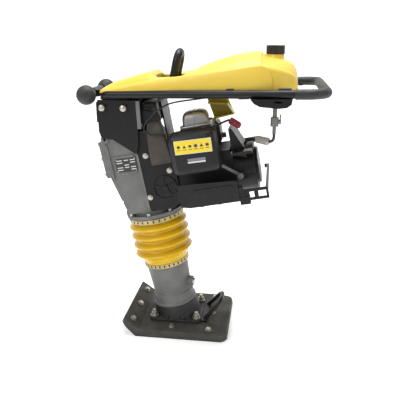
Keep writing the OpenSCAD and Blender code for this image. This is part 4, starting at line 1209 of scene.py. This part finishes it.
def make_intake_box():
    box = pad("intake_box_shell", [(0, 49, 140, 4), (2, 51, 142, 5), (30, 51, 142, 5), (30.8, 50, 141, 5),
                                   (32, 50, 141, 5), (32.8, 51, 142, 5), (54, 51, 142, 5), (57, 48, 139, 7),
                                   (58, 44, 135, 7)], facing((67.5, 0, 700), (0, 0, 0)), 5)
    knob = hex_head("intake_knob", facing((70, -70.6, 741), (90, 0, 0)), 5, 5)
    return join("intake_box", [box, knob])


intake = finish_piece(make_intake_box(), FINISHES["black_plastic"], "machine")
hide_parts("air_intake")
duct = finish_piece(make_duct(), FINISHES["duct_plastic"], "machine")
print("intake on")

# %% [markdown]
# ## The spark plug's boot and lead
# The boot is soft rubber that narrows towards its lead, and the lead is a thin black wire that runs back
# to the engine.

# %% Boot and lead
LEAD_ROUTE = [(304, -50, 660), (296, -50, 664), (280, -49, 661), (262, -48, 656), (246, -47, 653), (238,
    -46, 652)]
boot = pad("plug_boot", [(-19, 16, 16, 6), (-17, 19.4, 19.4, 6), (2, 20, 20, 6), (4, 18, 18, 6),
    (6, 20, 20, 6),
                         (13, 19, 19, 6), (17, 15, 15, 6), (19, 10, 10, 4)],
           facing((313, -50, 652), (0, 130, 0)), 6)
finish_piece(boot, FINISHES["plug_red"], "machine")
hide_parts("plug_cap")
lead = sweep("plug_lead", curve_through([at(p) for p in LEAD_ROUTE], 8), 0.0032, 14)
finish_piece(lead, FINISHES["hose_rubber"], "machine")
print("boot and lead on")

# %% [markdown]
# ## The grip
# The rear of the handle loop wears a moulded rubber sleeve with fine rings for a sure hold. It is swept
# round the same bends as the tube, with a radius that ripples along the way.

# %% Grip sleeve
RAIL_REAR = (428, -194)
GRIP_BEND = 46
GRIP_START = 344


def rounded_path(corners, bend, step):
    """Points in the rails' plane along straight runs and round bends, in millimetres."""
    points = [Vector((*corners[0], 0))]
    for i in range(1, len(corners) - 1):
        here = Vector((*corners[i], 0))
        back = (Vector((*corners[i - 1], 0)) - here).normalized()
        on = (Vector((*corners[i + 1], 0)) - here).normalized()
        half = back.angle(on) / 2
        reach = bend / math.tan(half)
        centre = here + (back + on).normalized() * bend / math.sin(half)
        first, last = here + back * reach - centre, here + on * reach - centre
        turn = first.angle(last)
        count = max(4, round(turn * bend / step))
        axis = first.cross(last).normalized()
        points += [centre + Matrix.Rotation(turn * k / count, 3, axis) @ first for k in range(count + 1)]
    points.append(Vector((*corners[-1], 0)))
    filled = [points[0]]
    for a, b in zip(points, points[1:]):
        count = max(1, round((b - a).length / step))
        filled += [a + (b - a) * k / count for k in range(1, count + 1)]
    return filled


def make_grip():
    corners = [(GRIP_START, -rail_side(GRIP_START)), RAIL_REAR, (RAIL_REAR[0], -RAIL_REAR[1]),
               (GRIP_START, rail_side(GRIP_START))]
    line = [RAILS @ p for p in rounded_path(corners, GRIP_BEND, 1.5)]
    total = route_length(line)

    def radius(d):
        end = min(d, total - d)
        lip = 0.0009 * max(0.0, 1 - end / 0.006)
        ring = 0.00035 * math.cos(2 * math.pi * d / 0.006) if end > 0.012 else 0.0
        return 0.0138 + lip + ring

    return sweep("grip_rubber_sleeve", line, radius, 28)


grip = finish_piece(make_grip(), FINISHES["grip_rubber"], "handle")
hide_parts("grip_sleeve")
print("grip has", len(grip.data.vertices), "points")

# %% [markdown]
# ## The studio
# The floor and the back wall are one pale sweep, and three large soft lights stand round the machine: a
# key from the upper left, a fill from the right, and one overhead that draws the highlights on the tank.
# The floor glows a little, so that it stays pale. The standard display keeps the yellow saturated.

# %% Floor and lights
def make_floor():
    width, front, back, wall, radius, steps = 6.0, -4.0, 3.2, 4.0, 1.4, 16
    line = [(front, 0.0)]
    for k in range(steps + 1):
        a = math.radians(90 * k / steps)
        line.append((back - radius + radius * math.sin(a), radius - radius * math.cos(a)))
    line.append((back, wall))
    points, faces = [], []
    for y, z in line:
        points += [(-width, y, z), (width, y, z)]
    for i in range(len(line) - 1):
        faces.append((2 * i, 2 * i + 1, 2 * i + 3, 2 * i + 2))
    floor = make_piece("studio_floor", points, faces)
    paper = bpy.data.materials.new("studio_paper")
    paper.use_nodes = True
    shader = paper.node_tree.nodes["Principled BSDF"]
    shader.inputs["Roughness"].default_value = 0.85
    shader.inputs["Emission Color"].default_value = (1, 1, 1, 1)
    shader.inputs["Emission Strength"].default_value = 0.34
    fine = noise(paper.node_tree, 3.0, 3.0)
    tone = blend_colour(paper.node_tree, fine, (0.95, 0.95, 0.95), (0.97, 0.97, 0.97))
    paper.node_tree.links.new(tone, shader.inputs["Base Color"])
    floor.data.materials.append(paper)
    return floor


def add_light(name, place, target, size, power):
    lamp = bpy.data.lights.new(name, "AREA")
    lamp.shape = "RECTANGLE"
    lamp.size, lamp.size_y = size
    lamp.energy = power
    light = bpy.data.objects.new(name, lamp)
    light.location = place
    light.rotation_euler = (Vector(target) - Vector(place)).to_track_quat("-Z", "Y").to_euler()
    scene.collection.objects.link(light)
    return light


make_floor()
MIDDLE = (0.05, 0.0, 0.5)
add_light("key_light", (-1.6, -2.2, 2.4), MIDDLE, (1.4, 1.4), 34)
add_light("fill_light", (2.2, -1.6, 1.4), MIDDLE, (1.6, 1.6), 10)
add_light("top_light", (0.1, 0.3, 3.0), MIDDLE, (1.6, 1.4), 74)
world = bpy.data.worlds.new("studio")
world.use_nodes = True
world.node_tree.nodes["Background"].inputs["Color"].default_value = (1, 1, 1, 1)
world.node_tree.nodes["Background"].inputs["Strength"].default_value = 0.40
scene.world = world
scene.view_settings.view_transform = "Standard"
print("studio lit")

# %% [markdown]
# ## Finish


print("scene built")
